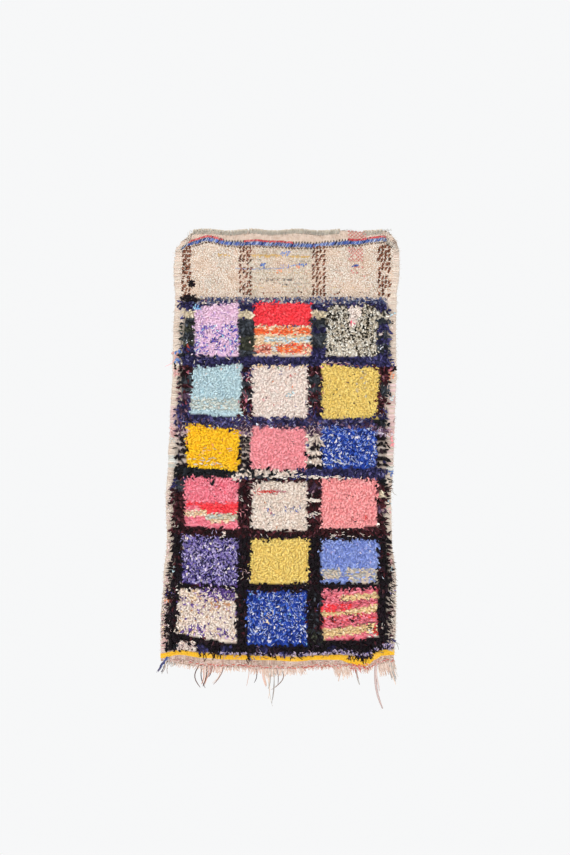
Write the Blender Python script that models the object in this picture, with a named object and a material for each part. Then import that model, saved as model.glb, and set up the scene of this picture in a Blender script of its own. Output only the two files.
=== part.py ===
"""A boucherouite rug that hangs flat by its top edge: cloth with a lumpy rag pile, overcasting and fringe.

Metres, +Z up. The back lies in the plane Y = 0, the pile faces -Y, and the origin is on the top edge.
"""

import math
import random
from collections import namedtuple

import bmesh
import bpy
from mathutils import Vector

# Outline of the cloth, with depth measured down from the top of the overcasting.
Section = namedtuple("Section", "depth left right")
OUTLINE = (
    Section(0.007, -0.328, 0.364),
    Section(0.020, -0.349, 0.385),
    Section(0.050, -0.378, 0.403),
    Section(0.080, -0.396, 0.412),
    Section(0.150, -0.402, 0.413),
    Section(0.250, -0.396, 0.403),
    Section(0.370, -0.403, 0.400),
    Section(0.510, -0.406, 0.402),
    Section(0.690, -0.414, 0.396),
    Section(0.835, -0.421, 0.391),
    Section(0.980, -0.430, 0.383),
    Section(1.120, -0.426, 0.385),
    Section(1.265, -0.438, 0.401),
    Section(1.410, -0.448, 0.400),
    Section(1.559, -0.449, 0.394),
)

# How far the foot edge hangs below its left corner.
Sag = namedtuple("Sag", "across drop")
FOOT_SAG = (
    Sag(-0.449, 0.000),
    Sag(-0.324, 0.018),
    Sag(-0.054, 0.029),
    Sag(0.216, 0.021),
    Sag(0.288, 0.028),
    Sag(0.340, 0.013),
    Sag(0.394, -0.003),
)

# Long strands of the fringe. Lean is the sideways drift for each metre of length.
Strand = namedtuple("Strand", "across length lean width")
LONG_STRANDS = (
    Strand(-0.425, 0.030, -0.20, 0.0045),
    Strand(-0.322, 0.074, 0.08, 0.0040),
    Strand(-0.296, 0.080, -0.02, 0.0050),
    Strand(-0.270, 0.066, -0.30, 0.0040),
    Strand(-0.223, 0.062, -0.58, 0.0035),
    Strand(-0.132, 0.060, -0.10, 0.0040),
    Strand(-0.104, 0.050, -0.16, 0.0045),
    Strand(-0.078, 0.070, 0.12, 0.0055),
    Strand(-0.060, 0.138, 0.06, 0.0040),
    Strand(-0.043, 0.112, -0.08, 0.0040),
    Strand(-0.018, 0.076, -0.26, 0.0040),
    Strand(0.060, 0.030, -0.05, 0.0050),
    Strand(0.150, 0.034, 0.02, 0.0050),
    Strand(0.205, 0.050, 0.00, 0.0055),
    Strand(0.259, 0.066, 0.10, 0.0035),
    Strand(0.328, 0.158, 0.13, 0.0055),
    Strand(0.362, 0.042, 0.22, 0.0055),
    Strand(0.382, 0.082, 0.24, 0.0035),
)

# Thicknesses from the back face to the front.
CLOTH = 0.0040
HEADING_LOOPS = 0.0030
PILE_LOW, PILE_HIGH = 0.0105, 0.0225
PILE_EDGE = 0.0130

# Zones down the cloth.
HEADING_BARE = 0.060
PILE_TOP, PILE_FOOT = 0.250, 1.520
FOOT_EDGE = OUTLINE[-1].depth
CELL = 0.022
COLUMNS = 35
PILE_SHOULDER = 0.006
LEFT_SELVEDGE, RIGHT_SELVEDGE = 0.022, 0.018

# Scallops of the top edge, between the points that hold it up.
SCALLOP_PITCH = 0.165
SCALLOP_CREST = -0.120
SCALLOP_DEPTH = 0.006
SCALLOP_REACH = 0.070
SAG_STARTS = 1.440

# Rag locks that stand out from the rim.
LOCK_SHARE = 0.62
LOCK_SHORT, LOCK_LONG = 0.004, 0.014
LOCK_DROOP = 0.45

GAP = 0.0003
STRIP_HEIGHT, STRIP_DEPTH = 0.0045, 0.0030
STRAND_PITCH = 0.0086
SHORT_STRAND = (0.010, 0.030)
SHORT_WIDTH = (0.0050, 0.0068)
STRAND_TIP = 0.50
STRAND_FORWARD = 0.002
SEED = 7

OVERCAST_RUNS = (("top_overcast_left", -0.326, 0.198), ("top_overcast_right", 0.284, 0.352))
OVERCAST_HEIGHT, OVERCAST_DEPTH = 0.0066, 0.0064
OVERCAST_STITCH = 0.0150
OVERCAST_WAIST = 0.72
OVERCAST_SIDES = 6

CORNER_KNOT = (-0.430, 1.548)
KNOT_RADIUS = 0.0050
KNOT_TAILS = ((-0.55, 0.048), (-0.20, 0.060), (0.25, 0.036))


def smooth_between(rows, key, value, at):
    """The value at a place in a table, with an even ease from each row to the next."""
    if at <= key(rows[0]):
        return value(rows[0])
    for low, high in zip(rows, rows[1:]):
        if at <= key(high):
            share = (at - key(low)) / (key(high) - key(low))
            ease = share * share * (3.0 - 2.0 * share)
            return value(low) + (value(high) - value(low)) * ease
    return value(rows[-1])


def edge_at(depth, side):
    return smooth_between(OUTLINE, lambda row: row.depth, lambda row: getattr(row, side), depth)


def foot_sag(across):
    return smooth_between(FOOT_SAG, lambda row: row.across, lambda row: row.drop, across)


def lean_at(across):
    return smooth_between(LONG_STRANDS, lambda row: row.across, lambda row: row.lean, across)


def scallop(across):
    """How far the top edge hangs below its crests."""
    turn = (across - SCALLOP_CREST) / SCALLOP_PITCH * math.tau
    return SCALLOP_DEPTH * (0.5 - 0.5 * math.cos(turn))


def height_at(across, depth):
    """World Z of a place on the cloth, with the scallops at the top and the sag at the foot."""
    near_top = max(0.0, 1.0 - (depth - OUTLINE[0].depth) / SCALLOP_REACH)
    near_foot = max(0.0, (depth - SAG_STARTS) / (FOOT_EDGE - SAG_STARTS))
    return -depth - scallop(across) * near_top - foot_sag(across) * near_foot ** 1.5


def even_steps(start, end, pitch):
    count = max(1, round((end - start) / pitch))
    return [start + (end - start) * step / count for step in range(count + 1)]


def row_depths():
    """Depth of each row of the grid, with close pairs where the pile begins and ends."""
    heading = even_steps(OUTLINE[0].depth, PILE_TOP, CELL)
    field = even_steps(PILE_TOP + PILE_SHOULDER, PILE_FOOT - PILE_SHOULDER, CELL)
    foot = even_steps(PILE_FOOT, FOOT_EDGE, CELL)
    return heading + field + foot


def column_places(depth):
    """Places across one row: rim, selvedge, shoulder of the pile, even steps, and the same again."""
    left, right = edge_at(depth, "left"), edge_at(depth, "right")
    inner_left = left + LEFT_SELVEDGE
    inner_right = right - RIGHT_SELVEDGE
    low, high = inner_left + PILE_SHOULDER, inner_right - PILE_SHOULDER
    middle = [low + (high - low) * step / COLUMNS for step in range(COLUMNS + 1)]
    return [left, inner_left] + middle + [inner_right, right]


def thickness_at(row_depth, column, last_column, draw):
    """Front face above the back: bare cloth, low heading loops, or lumpy pile."""
    on_selvedge = column in (0, 1, last_column - 1, last_column)
    if on_selvedge or row_depth < HEADING_BARE or row_depth >= PILE_FOOT:
        return CLOTH
    if row_depth <= PILE_TOP:
        return CLOTH + HEADING_LOOPS * draw.random()
    lump = PILE_LOW + (PILE_HIGH - PILE_LOW) * draw.random()
    at_side = column in (2, last_column - 2)
    at_end = row_depth < PILE_TOP + CELL / 2 or row_depth > PILE_FOOT - CELL / 2
    return (lump + PILE_EDGE) / 2 if at_side or at_end else lump


def straight_height_at(across, depth):
    """World Z on the top or foot edge as the grid cuts it, in straight runs from column to column."""
    places = column_places(depth)
    after = next((step for step in range(1, len(places)) if across <= places[step]), len(places) - 1)
    low, high = places[after - 1], places[after]
    share = (across - low) / (high - low)
    return height_at(low, depth) * (1.0 - share) + height_at(high, depth) * share


def grid_of_cloth(mesh, draw):
    """Front vertices, row by row, and the back's rim vertices for each of them."""
    depths = row_depths()
    front, back = [], []
    for depth in depths:
        places = column_places(depth)
        last = len(places) - 1
        curved = not SCALLOP_REACH + CELL < depth < SAG_STARTS - CELL
        front_row, back_row = [], {}
        for column, across in enumerate(places):
            height = height_at(across, depth)
            inside = 2 < column < last - 2 and PILE_TOP < depth < PILE_FOOT
            shift = CELL * 0.22 if inside else 0.0
            lump = thickness_at(depth, column, last, draw)
            place = Vector((across + draw.uniform(-shift, shift), -lump, height + draw.uniform(-shift, shift)))
            front_row.append(mesh.verts.new(place))
            if column in (0, last) or curved:
                back_row[column] = mesh.verts.new((across, 0.0, height))
        front.append(front_row)
        back.append(back_row)
    return front, back


def face_front(mesh, front):
    for upper, lower in zip(front, front[1:]):
        for column in range(len(upper) - 1):
            mesh.faces.new((upper[column], lower[column], lower[column + 1], upper[column + 1]))


def fan(mesh, edge, left, right):
    """Triangles from a straight row of vertices to the two rim vertices of the next row."""
    half = len(edge) // 2
    for near, far in zip(edge[:half], edge[1 : half + 1]):
        mesh.faces.new((left, near, far))
    mesh.faces.new((left, edge[half], right))
    for near, far in zip(edge[half:], edge[half + 1 :]):
        mesh.faces.new((right, near, far))


def face_back(mesh, back):
    """A grid where the edges curve, long quads from rim to rim between, and fans where the two meet."""
    last = len(back[0]) - 1
    for upper, lower in zip(back, back[1:]):
        if len(upper) == len(lower) == 2:
            mesh.faces.new((upper[0], upper[last], lower[last], lower[0]))
        elif len(upper) == len(lower):
            for column in range(last):
                mesh.faces.new((upper[column], upper[column + 1], lower[column + 1], lower[column]))
        else:
            full, bare = (upper, lower) if len(upper) > len(lower) else (lower, upper)
            fan(mesh, [full[column] for column in range(last + 1)], bare[0], bare[last])


def face_rim(mesh, front, back):
    """The thin edge all round. Returns the side faces, where locks may grow."""
    last = len(front[0]) - 1
    for column in range(last):
        top, foot = front[0], front[-1]
        mesh.faces.new((top[column], top[column + 1], back[0][column + 1], back[0][column]))
        mesh.faces.new((foot[column + 1], foot[column], back[-1][column], back[-1][column + 1]))
    sides = []
    for row in range(len(front) - 1):
        left = (front[row][0], back[row][0], back[row + 1][0], front[row + 1][0])
        right = (front[row][last], front[row + 1][last], back[row + 1][last], back[row][last])
        sides.append((row, -1.0, mesh.faces.new(left)))
        sides.append((row, 1.0, mesh.faces.new(right)))
    return sides


def grow(mesh, face, steps):
    """Extrudes one face along a list of (move, scale) steps, as a tapering lock or strand."""
    for move, scale in steps:
        face = bmesh.ops.extrude_discrete_faces(mesh, faces=[face])["faces"][0]
        centre = face.calc_center_median()
        for vert in face.verts:
            vert.co = centre + (vert.co - centre) * scale + Vector(move)
    return face


def grow_rim_locks(mesh, sides, draw):
    """Rag ends that stand out from the selvedges, longer towards the foot, and never two in a row."""
    depths = row_depths()
    grown_last = {-1.0: False, 1.0: False}
    for row, outward, face in sides:
        depth = depths[row]
        tall_enough = depths[row + 1] - depth > CELL / 2
        wanted = PILE_TOP < depth < PILE_FOOT and tall_enough and draw.random() < LOCK_SHARE
        grown_last[outward] = wanted and not grown_last[outward]
        if not grown_last[outward]:
            continue
        share = depth / PILE_FOOT
        length = LOCK_SHORT + (LOCK_LONG - LOCK_SHORT) * share * draw.random()
        half = (outward * length * 0.5, 0.0, -length * LOCK_DROOP * 0.3)
        tip = (outward * length * 0.5, -CLOTH * 0.1, -length * LOCK_DROOP)
        grow(mesh, face, ((half, 0.70), (tip, 0.55)))


def finish_object(name, mesh, material):
    """Turns the mesh into a named object with its material."""
    bmesh.ops.recalc_face_normals(mesh, faces=mesh.faces)
    data = bpy.data.meshes.new(name)
    mesh.to_mesh(data)
    mesh.free()
    data.materials.append(material)
    obj = bpy.data.objects.new(name, data)
    bpy.context.scene.collection.objects.link(obj)
    return obj


def plain_material(name, colour, roughness):
    material = bpy.data.materials.new(name)
    material.use_nodes = True
    shader = material.node_tree.nodes["Principled BSDF"]
    shader.inputs["Base Color"].default_value = (*colour, 1.0)
    shader.inputs["Roughness"].default_value = roughness
    shader.inputs["Metallic"].default_value = 0.0
    return material


def build_rug_body(material):
    draw = random.Random(SEED)
    mesh = bmesh.new()
    front, back = grid_of_cloth(mesh, draw)
    face_front(mesh, front)
    face_back(mesh, back)
    sides = face_rim(mesh, front, back)
    grow_rim_locks(mesh, sides, draw)
    return finish_object("rug_body", mesh, material)


def overcast_ring(mesh, across, scale):
    """One ring of the overcast yarn, which stands on the top edge of the cloth."""
    foot = straight_height_at(across, OUTLINE[0].depth) + GAP
    half_height, half_depth = OVERCAST_HEIGHT / 2, OVERCAST_DEPTH / 2 * scale
    ring = []
    for side in range(OVERCAST_SIDES):
        turn = math.tau * (side + 0.5) / OVERCAST_SIDES
        rise = half_height * (1.0 + math.sin(turn) * scale)
        ring.append(mesh.verts.new((across, -OVERCAST_DEPTH / 2 + half_depth * math.cos(turn), foot + rise)))
    return ring


def build_overcast(name, start, end, material):
    """Yarn wound over the edge, as a bead that narrows between its stitches."""
    mesh = bmesh.new()
    rings = []
    for step, across in enumerate(even_steps(start, end, OVERCAST_STITCH / 2)):
        rings.append(overcast_ring(mesh, across, 1.0 if step % 2 else OVERCAST_WAIST))
    for near, far in zip(rings, rings[1:]):
        for side in range(OVERCAST_SIDES):
            after = (side + 1) % OVERCAST_SIDES
            mesh.faces.new((near[side], near[after], far[after], far[side]))
    mesh.faces.new(rings[0])
    mesh.faces.new(rings[-1])
    return finish_object(name, mesh, material)


def fringe_strands(draw):
    """Every strand from left to right: the long ones from the table and short frayed ones between."""
    strands = list(LONG_STRANDS)
    left, right = edge_at(FOOT_EDGE, "left"), edge_at(FOOT_EDGE, "right")
    for across in even_steps(left + STRAND_PITCH, right - STRAND_PITCH, STRAND_PITCH):
        if min(abs(across - strand.across) for strand in LONG_STRANDS) < STRAND_PITCH * 0.95:
            continue
        lean = lean_at(across) + draw.uniform(-0.04, 0.04)
        strands.append(Strand(across, draw.uniform(*SHORT_STRAND), lean, draw.uniform(*SHORT_WIDTH)))
    return sorted(strands)


def strip_ring(mesh, across):
    """Four corners of the strip that holds the fringe, just under the edge of the cloth."""
    top = straight_height_at(across, FOOT_EDGE) - GAP
    corners = ((-GAP, top), (-GAP - STRIP_DEPTH, top), (-GAP - STRIP_DEPTH, top - STRIP_HEIGHT), (-GAP, top - STRIP_HEIGHT))
    return [mesh.verts.new((across, depth, height)) for depth, height in corners]


def build_fringe(material):
    """Strands of the cut warp, fused at their roots into one narrow strip."""
    draw = random.Random(SEED + 1)
    mesh = bmesh.new()
    strands = fringe_strands(draw)
    places = [edge_at(FOOT_EDGE, "left")]
    for strand in strands:
        places += [strand.across - strand.width / 2, strand.across + strand.width / 2]
    places.append(edge_at(FOOT_EDGE, "right"))
    rings = [strip_ring(mesh, across) for across in places]
    roots = []
    for step, (near, far) in enumerate(zip(rings, rings[1:])):
        for side in range(4):
            after = (side + 1) % 4
            face = mesh.faces.new((near[side], near[after], far[after], far[side]))
            if side == 2 and step % 2:
                roots.append(face)
    mesh.faces.new(rings[0])
    mesh.faces.new(rings[-1])
    for strand, root in zip(strands, roots):
        run = strand.length / 3
        down = (strand.lean * run, -draw.uniform(0.0, STRAND_FORWARD), -run)
        grow(mesh, root, ((down, 0.95), (down, 0.80), (down, STRAND_TIP)))
    return finish_object("bottom_fringe", mesh, material)


def build_corner_yarn(material):
    """A small knot in front of the left corner, with three loose tails below it."""
    across, depth = CORNER_KNOT
    mesh = bmesh.new()
    made = bmesh.ops.create_cube(mesh, size=2 * KNOT_RADIUS)
    front = -CLOTH - GAP - KNOT_RADIUS
    bmesh.ops.translate(mesh, verts=made["verts"], vec=(across, front, -depth))
    bmesh.ops.subdivide_edges(mesh, edges=list(mesh.edges), cuts=2, use_grid_fill=True)
    lowest = -depth - KNOT_RADIUS
    under = [face for face in mesh.faces if abs(face.calc_center_median().z - lowest) < GAP]
    middle = [face for face in under if abs(face.calc_center_median().y - front) < GAP]
    for face, (lean, length) in zip(sorted(middle, key=lambda one: one.calc_center_median().x), KNOT_TAILS):
        run = length / 3
        down = (lean * run, 0.0, -run)
        grow(mesh, face, ((down, 0.9), (down, 0.8), (down, STRAND_TIP)))
    return finish_object("corner_yarn_left", mesh, material)


def clear_scene():
    for obj in list(bpy.data.objects):
        bpy.data.objects.remove(obj, do_unlink=True)


def main():
    clear_scene()
    rags = plain_material("rag_pile", (0.36, 0.22, 0.24), 0.92)
    grey_yarn = plain_material("grey_yarn", (0.32, 0.30, 0.27), 0.90)
    warp_ends = plain_material("warp_ends", (0.66, 0.50, 0.40), 0.92)
    blue_yarn = plain_material("blue_yarn", (0.06, 0.09, 0.32), 0.90)
    build_rug_body(rags)
    for name, start, end in OVERCAST_RUNS:
        build_overcast(name, start, end, grey_yarn)
    build_fringe(warp_ends)
    build_corner_yarn(blue_yarn)


main()
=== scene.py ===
"""The looks of a boucherouite rug that hangs flat. Metres, +Z up, the pile towards -Y.

Places on the rug are given as across (X) and depth (down from the top edge), in millimetres in the tables.
"""

import math
from collections import namedtuple

import bpy
import numpy as np
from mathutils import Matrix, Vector


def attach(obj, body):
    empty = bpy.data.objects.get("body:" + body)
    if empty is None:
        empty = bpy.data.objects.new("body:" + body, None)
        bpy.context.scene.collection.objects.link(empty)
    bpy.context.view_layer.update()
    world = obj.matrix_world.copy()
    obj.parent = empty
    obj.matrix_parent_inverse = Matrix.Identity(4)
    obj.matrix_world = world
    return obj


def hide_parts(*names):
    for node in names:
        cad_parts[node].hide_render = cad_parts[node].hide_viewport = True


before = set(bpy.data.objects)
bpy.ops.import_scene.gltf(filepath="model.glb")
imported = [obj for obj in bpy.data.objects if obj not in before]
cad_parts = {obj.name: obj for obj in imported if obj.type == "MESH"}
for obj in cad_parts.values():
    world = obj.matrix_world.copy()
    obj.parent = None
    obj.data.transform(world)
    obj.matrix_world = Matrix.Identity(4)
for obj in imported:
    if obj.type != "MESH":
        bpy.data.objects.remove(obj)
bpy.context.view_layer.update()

MM = 0.001
SEED = 20


def table(fields, rows, defaults=()):
    """Rows with named fields."""
    kind = namedtuple("Row", fields, defaults=defaults)
    return tuple(kind(*row) for row in rows)


def patches(rows):
    """Areas of colour: share is how many of the rags there take it, rise how far it climbs to the right."""
    return table("left right top foot palette share rise", rows, (1.0, 0))


# Outline of the cloth, as in the solids.
OUTLINE = table("depth left right", (
    (7, -328, 364), (20, -349, 385), (50, -378, 403), (80, -396, 412), (150, -402, 413), (250, -396, 403),
    (370, -403, 400), (510, -406, 402), (690, -414, 396), (835, -421, 391), (980, -430, 383),
    (1120, -426, 385), (1265, -438, 401), (1410, -448, 400), (1559, -449, 394),
))
FOOT_SAG = table(
    "across drop", ((-449, 0), (-324, 18), (-54, 29), (216, 21), (288, 28), (340, 13), (394, -3))
)
CLOTH_TOP, CLOTH_FOOT = OUTLINE[0].depth, OUTLINE[-1].depth
SCALLOP_PITCH, SCALLOP_CREST, SCALLOP_DEPTH, SCALLOP_REACH = 165.0, -120.0, 6.0, 70.0
SAG_STARTS = 1440.0
PLAIN_FOOT = 66.0
HEADING_TOP = 62.0
# How far the heading keeps off the left and the right edge.
HEADING_LEFT, HEADING_RIGHT = 14, 12
PILE_TOP, PILE_FOOT = 250.0, 1520.0

# Distances in front of the plane of the back: the woven ground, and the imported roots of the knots.
GROUND_BACK, GROUND_FRONT = 0.6, 3.0
BASE_HIGH = 8.0
LAID_BASE = 10.5

# Colours as they look in even white light, with how often each rag comes up.
PALETTES = {
    "plain": (("#b9a698", 5), ("#c1b0a2", 3), ("#b09c8c", 2)),
    "heading": (("#d6c8ba", 5), ("#dccfc2", 4), ("#cdbdac", 2), ("#d6beb0", 2)),
    "heading_grey": (("#cabfae", 5), ("#c0b4a2", 3), ("#d4c9ba", 3), ("#b6a894", 1)),
    "heading_gap": (("#b6a08e", 3), ("#a88e7a", 2), ("#bea896", 2)),
    "heading_line": (("#8c6e58", 3), ("#a2836c", 3), ("#6e5444", 1.5)),
    "brown_speck": (("#623a2a", 4), ("#784a38", 3), ("#40281c", 2.5), ("#946450", 1.5)),
    "under_speck": (("#4a3428", 3), ("#2e2422", 2), ("#6e4c38", 2), ("#8a6c58", 1)),
    "grey_speck": (("#6f6a66", 2), ("#8d8780", 2), ("#5c5854", 1)),
    "faint_yellow": (("#d0aa66", 3), ("#c8a872", 2)),
    "blue_line": (("#6c88c0", 3), ("#8aa0c8", 2), ("#4f68aa", 2)),
    "peach": (("#e88a60", 2), ("#eaa080", 2)),
    "tan": (("#c48c62", 3), ("#cfa07c", 2), ("#ac7854", 1)),
    "selvedge": (("#c4b5a8", 5), ("#cabcae", 3), ("#bcab9d", 2), ("#c6b3a6", 2)),
    "selvedge_pink": (("#c8acaa", 4), ("#d0b8b4", 3), ("#bca09c", 2)),
    "selvedge_grey": (("#bdbcb6", 4), ("#cac8c2", 3), ("#adada6", 2)),
    "denim": (
        ("#4a5274", 3), ("#38406a", 3), ("#6a708c", 3), ("#26284c", 2), ("#9a98a4", 2.2),
        ("#ccbeb4", 3.0), ("#7a5064", 1.6),
    ),
    "navy": (("#272549", 5), ("#35325e", 3), ("#191631", 4), ("#4c4878", 1)),
    "charcoal": (("#33373e", 4), ("#24272c", 3), ("#474c54", 2), ("#15161a", 1)),
    "olive": (("#33352c", 4), ("#45473a", 3), ("#22241e", 2)),
    "maroon": (("#2a1015", 4), ("#3e181d", 3), ("#180a0d", 4), ("#5e2c34", 0.7)),
    "plum": (("#4a3446", 3), ("#362338", 3), ("#66506a", 2), ("#94707e", 1.2)),
    "black": (("#150e14", 5), ("#0d090c", 4), ("#22151d", 2)),
    "black_cool": (("#14161a", 4), ("#0e0f12", 3), ("#262a30", 2)),
    "dusty_pink": (("#b86a78", 3), ("#c98a94", 2), ("#8f4a58", 2)),
    "khaki": (("#cfc0a4", 4), ("#bfb094", 3), ("#dccdb4", 3)),
    "white": (("#e6e6ee", 4), ("#d8dcea", 3), ("#c4cade", 2)),
    "milky": (("#d6d4e6", 4), ("#c2c6e2", 3), ("#e4dad8", 2)),
    "pale_lilac": (("#d8c6dc", 3), ("#e6d8e6", 3), ("#bca8c8", 1)),
    "dim_lilac": (("#b8a6c0", 3), ("#9486a4", 2), ("#cbb8cc", 2), ("#4a3e60", 1.2)),
    "cream": (("#e9d8ca", 6), ("#eee0d4", 3), ("#e0ccbc", 2), ("#e6cec0", 2)),
    "pale_ground": (("#dccabc", 5), ("#cfbcae", 3), ("#e4d6ca", 2), ("#c8b8ae", 2)),
    "bare_ground": (("#bcaba0", 5), ("#b0a096", 3), ("#c4b6ae", 2)),
    "cream_pink": (("#ecdbd0", 6), ("#f0e2d8", 4), ("#e6d0c6", 2), ("#e8d0c6", 2)),
    "warm_cream": (("#efd0aa", 4), ("#f2dcc4", 3), ("#e4bc92", 3)),
    "lilac": (("#e9c4da", 6), ("#f0d0e0", 3), ("#deb6d2", 2), ("#d4aed8", 1)),
    "lilac_fleck": (
        ("#5c4ab0", 4), ("#7a68c0", 2), ("#3c46a4", 2), ("#8cc4d4", 1.4), ("#f6f0f2", 2), ("#2c2c6c", 1),
    ),
    "sky": (("#9fd0ec", 3), ("#6fa8dc", 2)),
    "red": (("#fb4650", 6), ("#f03640", 3), ("#ff6266", 1)),
    "red_bit": (("#e0403a", 3), ("#c03830", 2)),
    "orange": (("#f4703a", 5), ("#f88c58", 3), ("#ec5638", 2), ("#f4b496", 2)),
    "coral": (("#e2705c", 4), ("#e6967e", 3), ("#d4504a", 2), ("#eec4b4", 2), ("#8c4038", 0.8)),
    "pale_blue": (("#c4d4d8", 3), ("#aac8d2", 2), ("#e2dcd4", 2)),
    "salt_pepper": (("#d6cab8", 6), ("#baac96", 3), ("#ece6da", 4), ("#1c1a15", 2.0), ("#463e30", 1.5)),
    "ink": (("#1a1815", 3), ("#38322a", 1.5)),
    "light_blue": (("#bad1d8", 6), ("#c4dade", 3), ("#aec8d0", 2)),
    "grey_beige": (("#c8ccc4", 3), ("#bccac8", 3), ("#d2d0c4", 1.5)),
    "beige_strip": (("#d2c0ac", 4), ("#bcb6aa", 2), ("#a8aeba", 1.4), ("#e0ceb6", 1)),
    "beige_band": (("#eecf98", 4), ("#e6c48e", 3), ("#f0d8b0", 2), ("#d4ac7e", 1.5)),
    "soft_yellow": (("#ebcb70", 6), ("#efd27c", 3), ("#e4c266", 2)),
    "golden": (("#fdc424", 6), ("#ffca30", 3), ("#f8bc1c", 2)),
    "salmon": (("#f2989e", 6), ("#f6a2a8", 3), ("#ec8e96", 2)),
    "royal": (("#2a48aa", 5), ("#203890", 4), ("#4066c8", 2), ("#162460", 3)),
    "royal_hem": (("#b8c4e6", 3), ("#d8dcee", 3), ("#8ea2dc", 2)),
    "violet_hem": (("#bcb0da", 3), ("#e0d4e4", 2), ("#a098d0", 2)),
    "navy_hem": (("#5c5a90", 3), ("#4a4880", 2), ("#8a88a8", 1)),
    "maroon_hem": (("#6a3a44", 3), ("#8c5a62", 1)),
    "deep_pink": (("#d86472", 4), ("#e67a86", 3), ("#bc4654", 2)),
    "hot_pink": (("#f28494", 6), ("#fa98a6", 3), ("#e86e80", 3)),
    "light_salmon": (("#f69e9e", 6), ("#faaaa8", 3), ("#f09294", 2)),
    "violet": (
        ("#7a6aac", 5), ("#9286c2", 3), ("#b4a6d2", 2.2), ("#4c4288", 3), ("#2a2258", 3),
        ("#181430", 4.6),
    ),
    "periwinkle": (("#8496d6", 6), ("#96a6de", 3), ("#6c80c4", 2)),
    "purple_fleck": (("#64488c", 4), ("#8068a4", 2), ("#46326c", 2.5), ("#c0a4c8", 1.5)),
    "foot_band": (("#b8a091", 5), ("#c6b0a0", 3), ("#a88c7c", 2), ("#b48c82", 1.6), ("#d0bcae", 1)),
    "stripe_yellow": (("#f4ba30", 6), ("#f8c440", 3), ("#e8ac24", 2)),
    "twine_blue": (("#4c62a4", 4), ("#6c82b8", 2), ("#a4b0cc", 2.4), ("#262f54", 2.6), ("#3c4e88", 2)),
    "twine_red": (("#c84e54", 4), ("#d47c7e", 2.4), ("#a83a40", 2), ("#64343c", 1.0)),
    "dusty_rose": (("#d8b4ae", 3), ("#c89a9a", 2)),
    "check_red": (("#c04a4e", 3), ("#cc6668", 2)),
    "overcast": (("#9c968a", 5), ("#a49e92", 4), ("#948e84", 2)),
    "overcast_rim": (("#c6b8a6", 4), ("#bcae9e", 3), ("#ccc0b0", 2)),
    "overcast_foot": (("#7c7870", 3), ("#4c4a48", 2), ("#8e887e", 2)),
    "red_thread": (("#c8584c", 4), ("#d87a68", 2), ("#b0443c", 2)),
    "fringe": (("#d2b6a6", 4), ("#c4a694", 2), ("#dcc6b8", 3), ("#b4968a", 1)),
    "fringe_red": (("#c69a8a", 3), ("#d0a898", 2), ("#a06a5e", 1.2), ("#d2b6a6", 3.4)),
    "fringe_dark": (("#5c4440", 3), ("#43363a", 2), ("#7a5c54", 2)),
    "fringe_grey": (("#a09a94", 3), ("#b8b0a6", 2), ("#7c7876", 2)),
    "fringe_mauve": (("#c6b4ae", 4), ("#d0c0ba", 2), ("#b29e9a", 2)),
    "fuzz": (("#c8b8a8", 4), ("#b4a496", 2), ("#d4c8bc", 2)),
    "fuzz_grey": (("#8a8478", 4), ("#a49c8e", 2), ("#6c6860", 2)),
    "fuzz_dark": (("#3c3a3a", 3), ("#5a5654", 2)),
    "corner_blue": (("#3a4e90", 4), ("#5468a4", 2), ("#2a3a72", 2)),
    "corner_dark": (("#3a3440", 3), ("#5c4c54", 2)),
    "tuft_pink": (("#d6a8a4", 4), ("#dcb6b2", 3), ("#c49490", 2)),
    "tuft_pale": (("#d8c0b8", 4), ("#e0ccc4", 3), ("#c8a8a4", 2)),
    "specks": (("#e04858", 1), ("#3d8a5a", 1), ("#4668c8", 1.5), ("#202028", 2), ("#e89060", 1)),
    "dark_specks": (("#3a2c34", 3), ("#5a3c44", 2), ("#202028", 2)),
}
# The paler face of some rags, which shows along one edge, and on how many of them.
HEMS = {
    "royal": ("royal_hem", 0.54),
    "violet": ("violet_hem", 0.50),
    "salt_pepper": ("ink", 0.52),
    "navy": ("navy_hem", 0.28),
    "maroon": ("maroon_hem", 0.16),
    "periwinkle": ("royal_hem", 0.15),
}

# Kinds of rag ends: the pitch of the knots and each end's width, thickness and length, the spread of their
# lay in degrees, their sides and rings, and how wide the tip is beside the middle.
Style = namedtuple("Style", "pitch wide thick length spread sides rings tip")
FINE = Style(6.7, 7.8, 2.6, 16.5, 38.0, 4, 4, 0.45)
LEAFY = Style(9.8, 11.5, 3.8, 21.0, 38.0, 4, 5, 0.3)
MIDDLING = Style(7.4, 7.4, 2.8, 14.5, 38.0, 4, 4, 0.4)
SPIKES = Style(8.0, 6.0, 2.6, 12.0, 30.0, 4, 4, 0.6)
WISPS = Style(8.0, 2.4, 1.6, 21.0, 70.0, 4, 5, 0.7)
SIDEWAYS = Style(14.0, 5.5, 2.4, 22.0, 18.0, 4, 5, 0.25)

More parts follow.
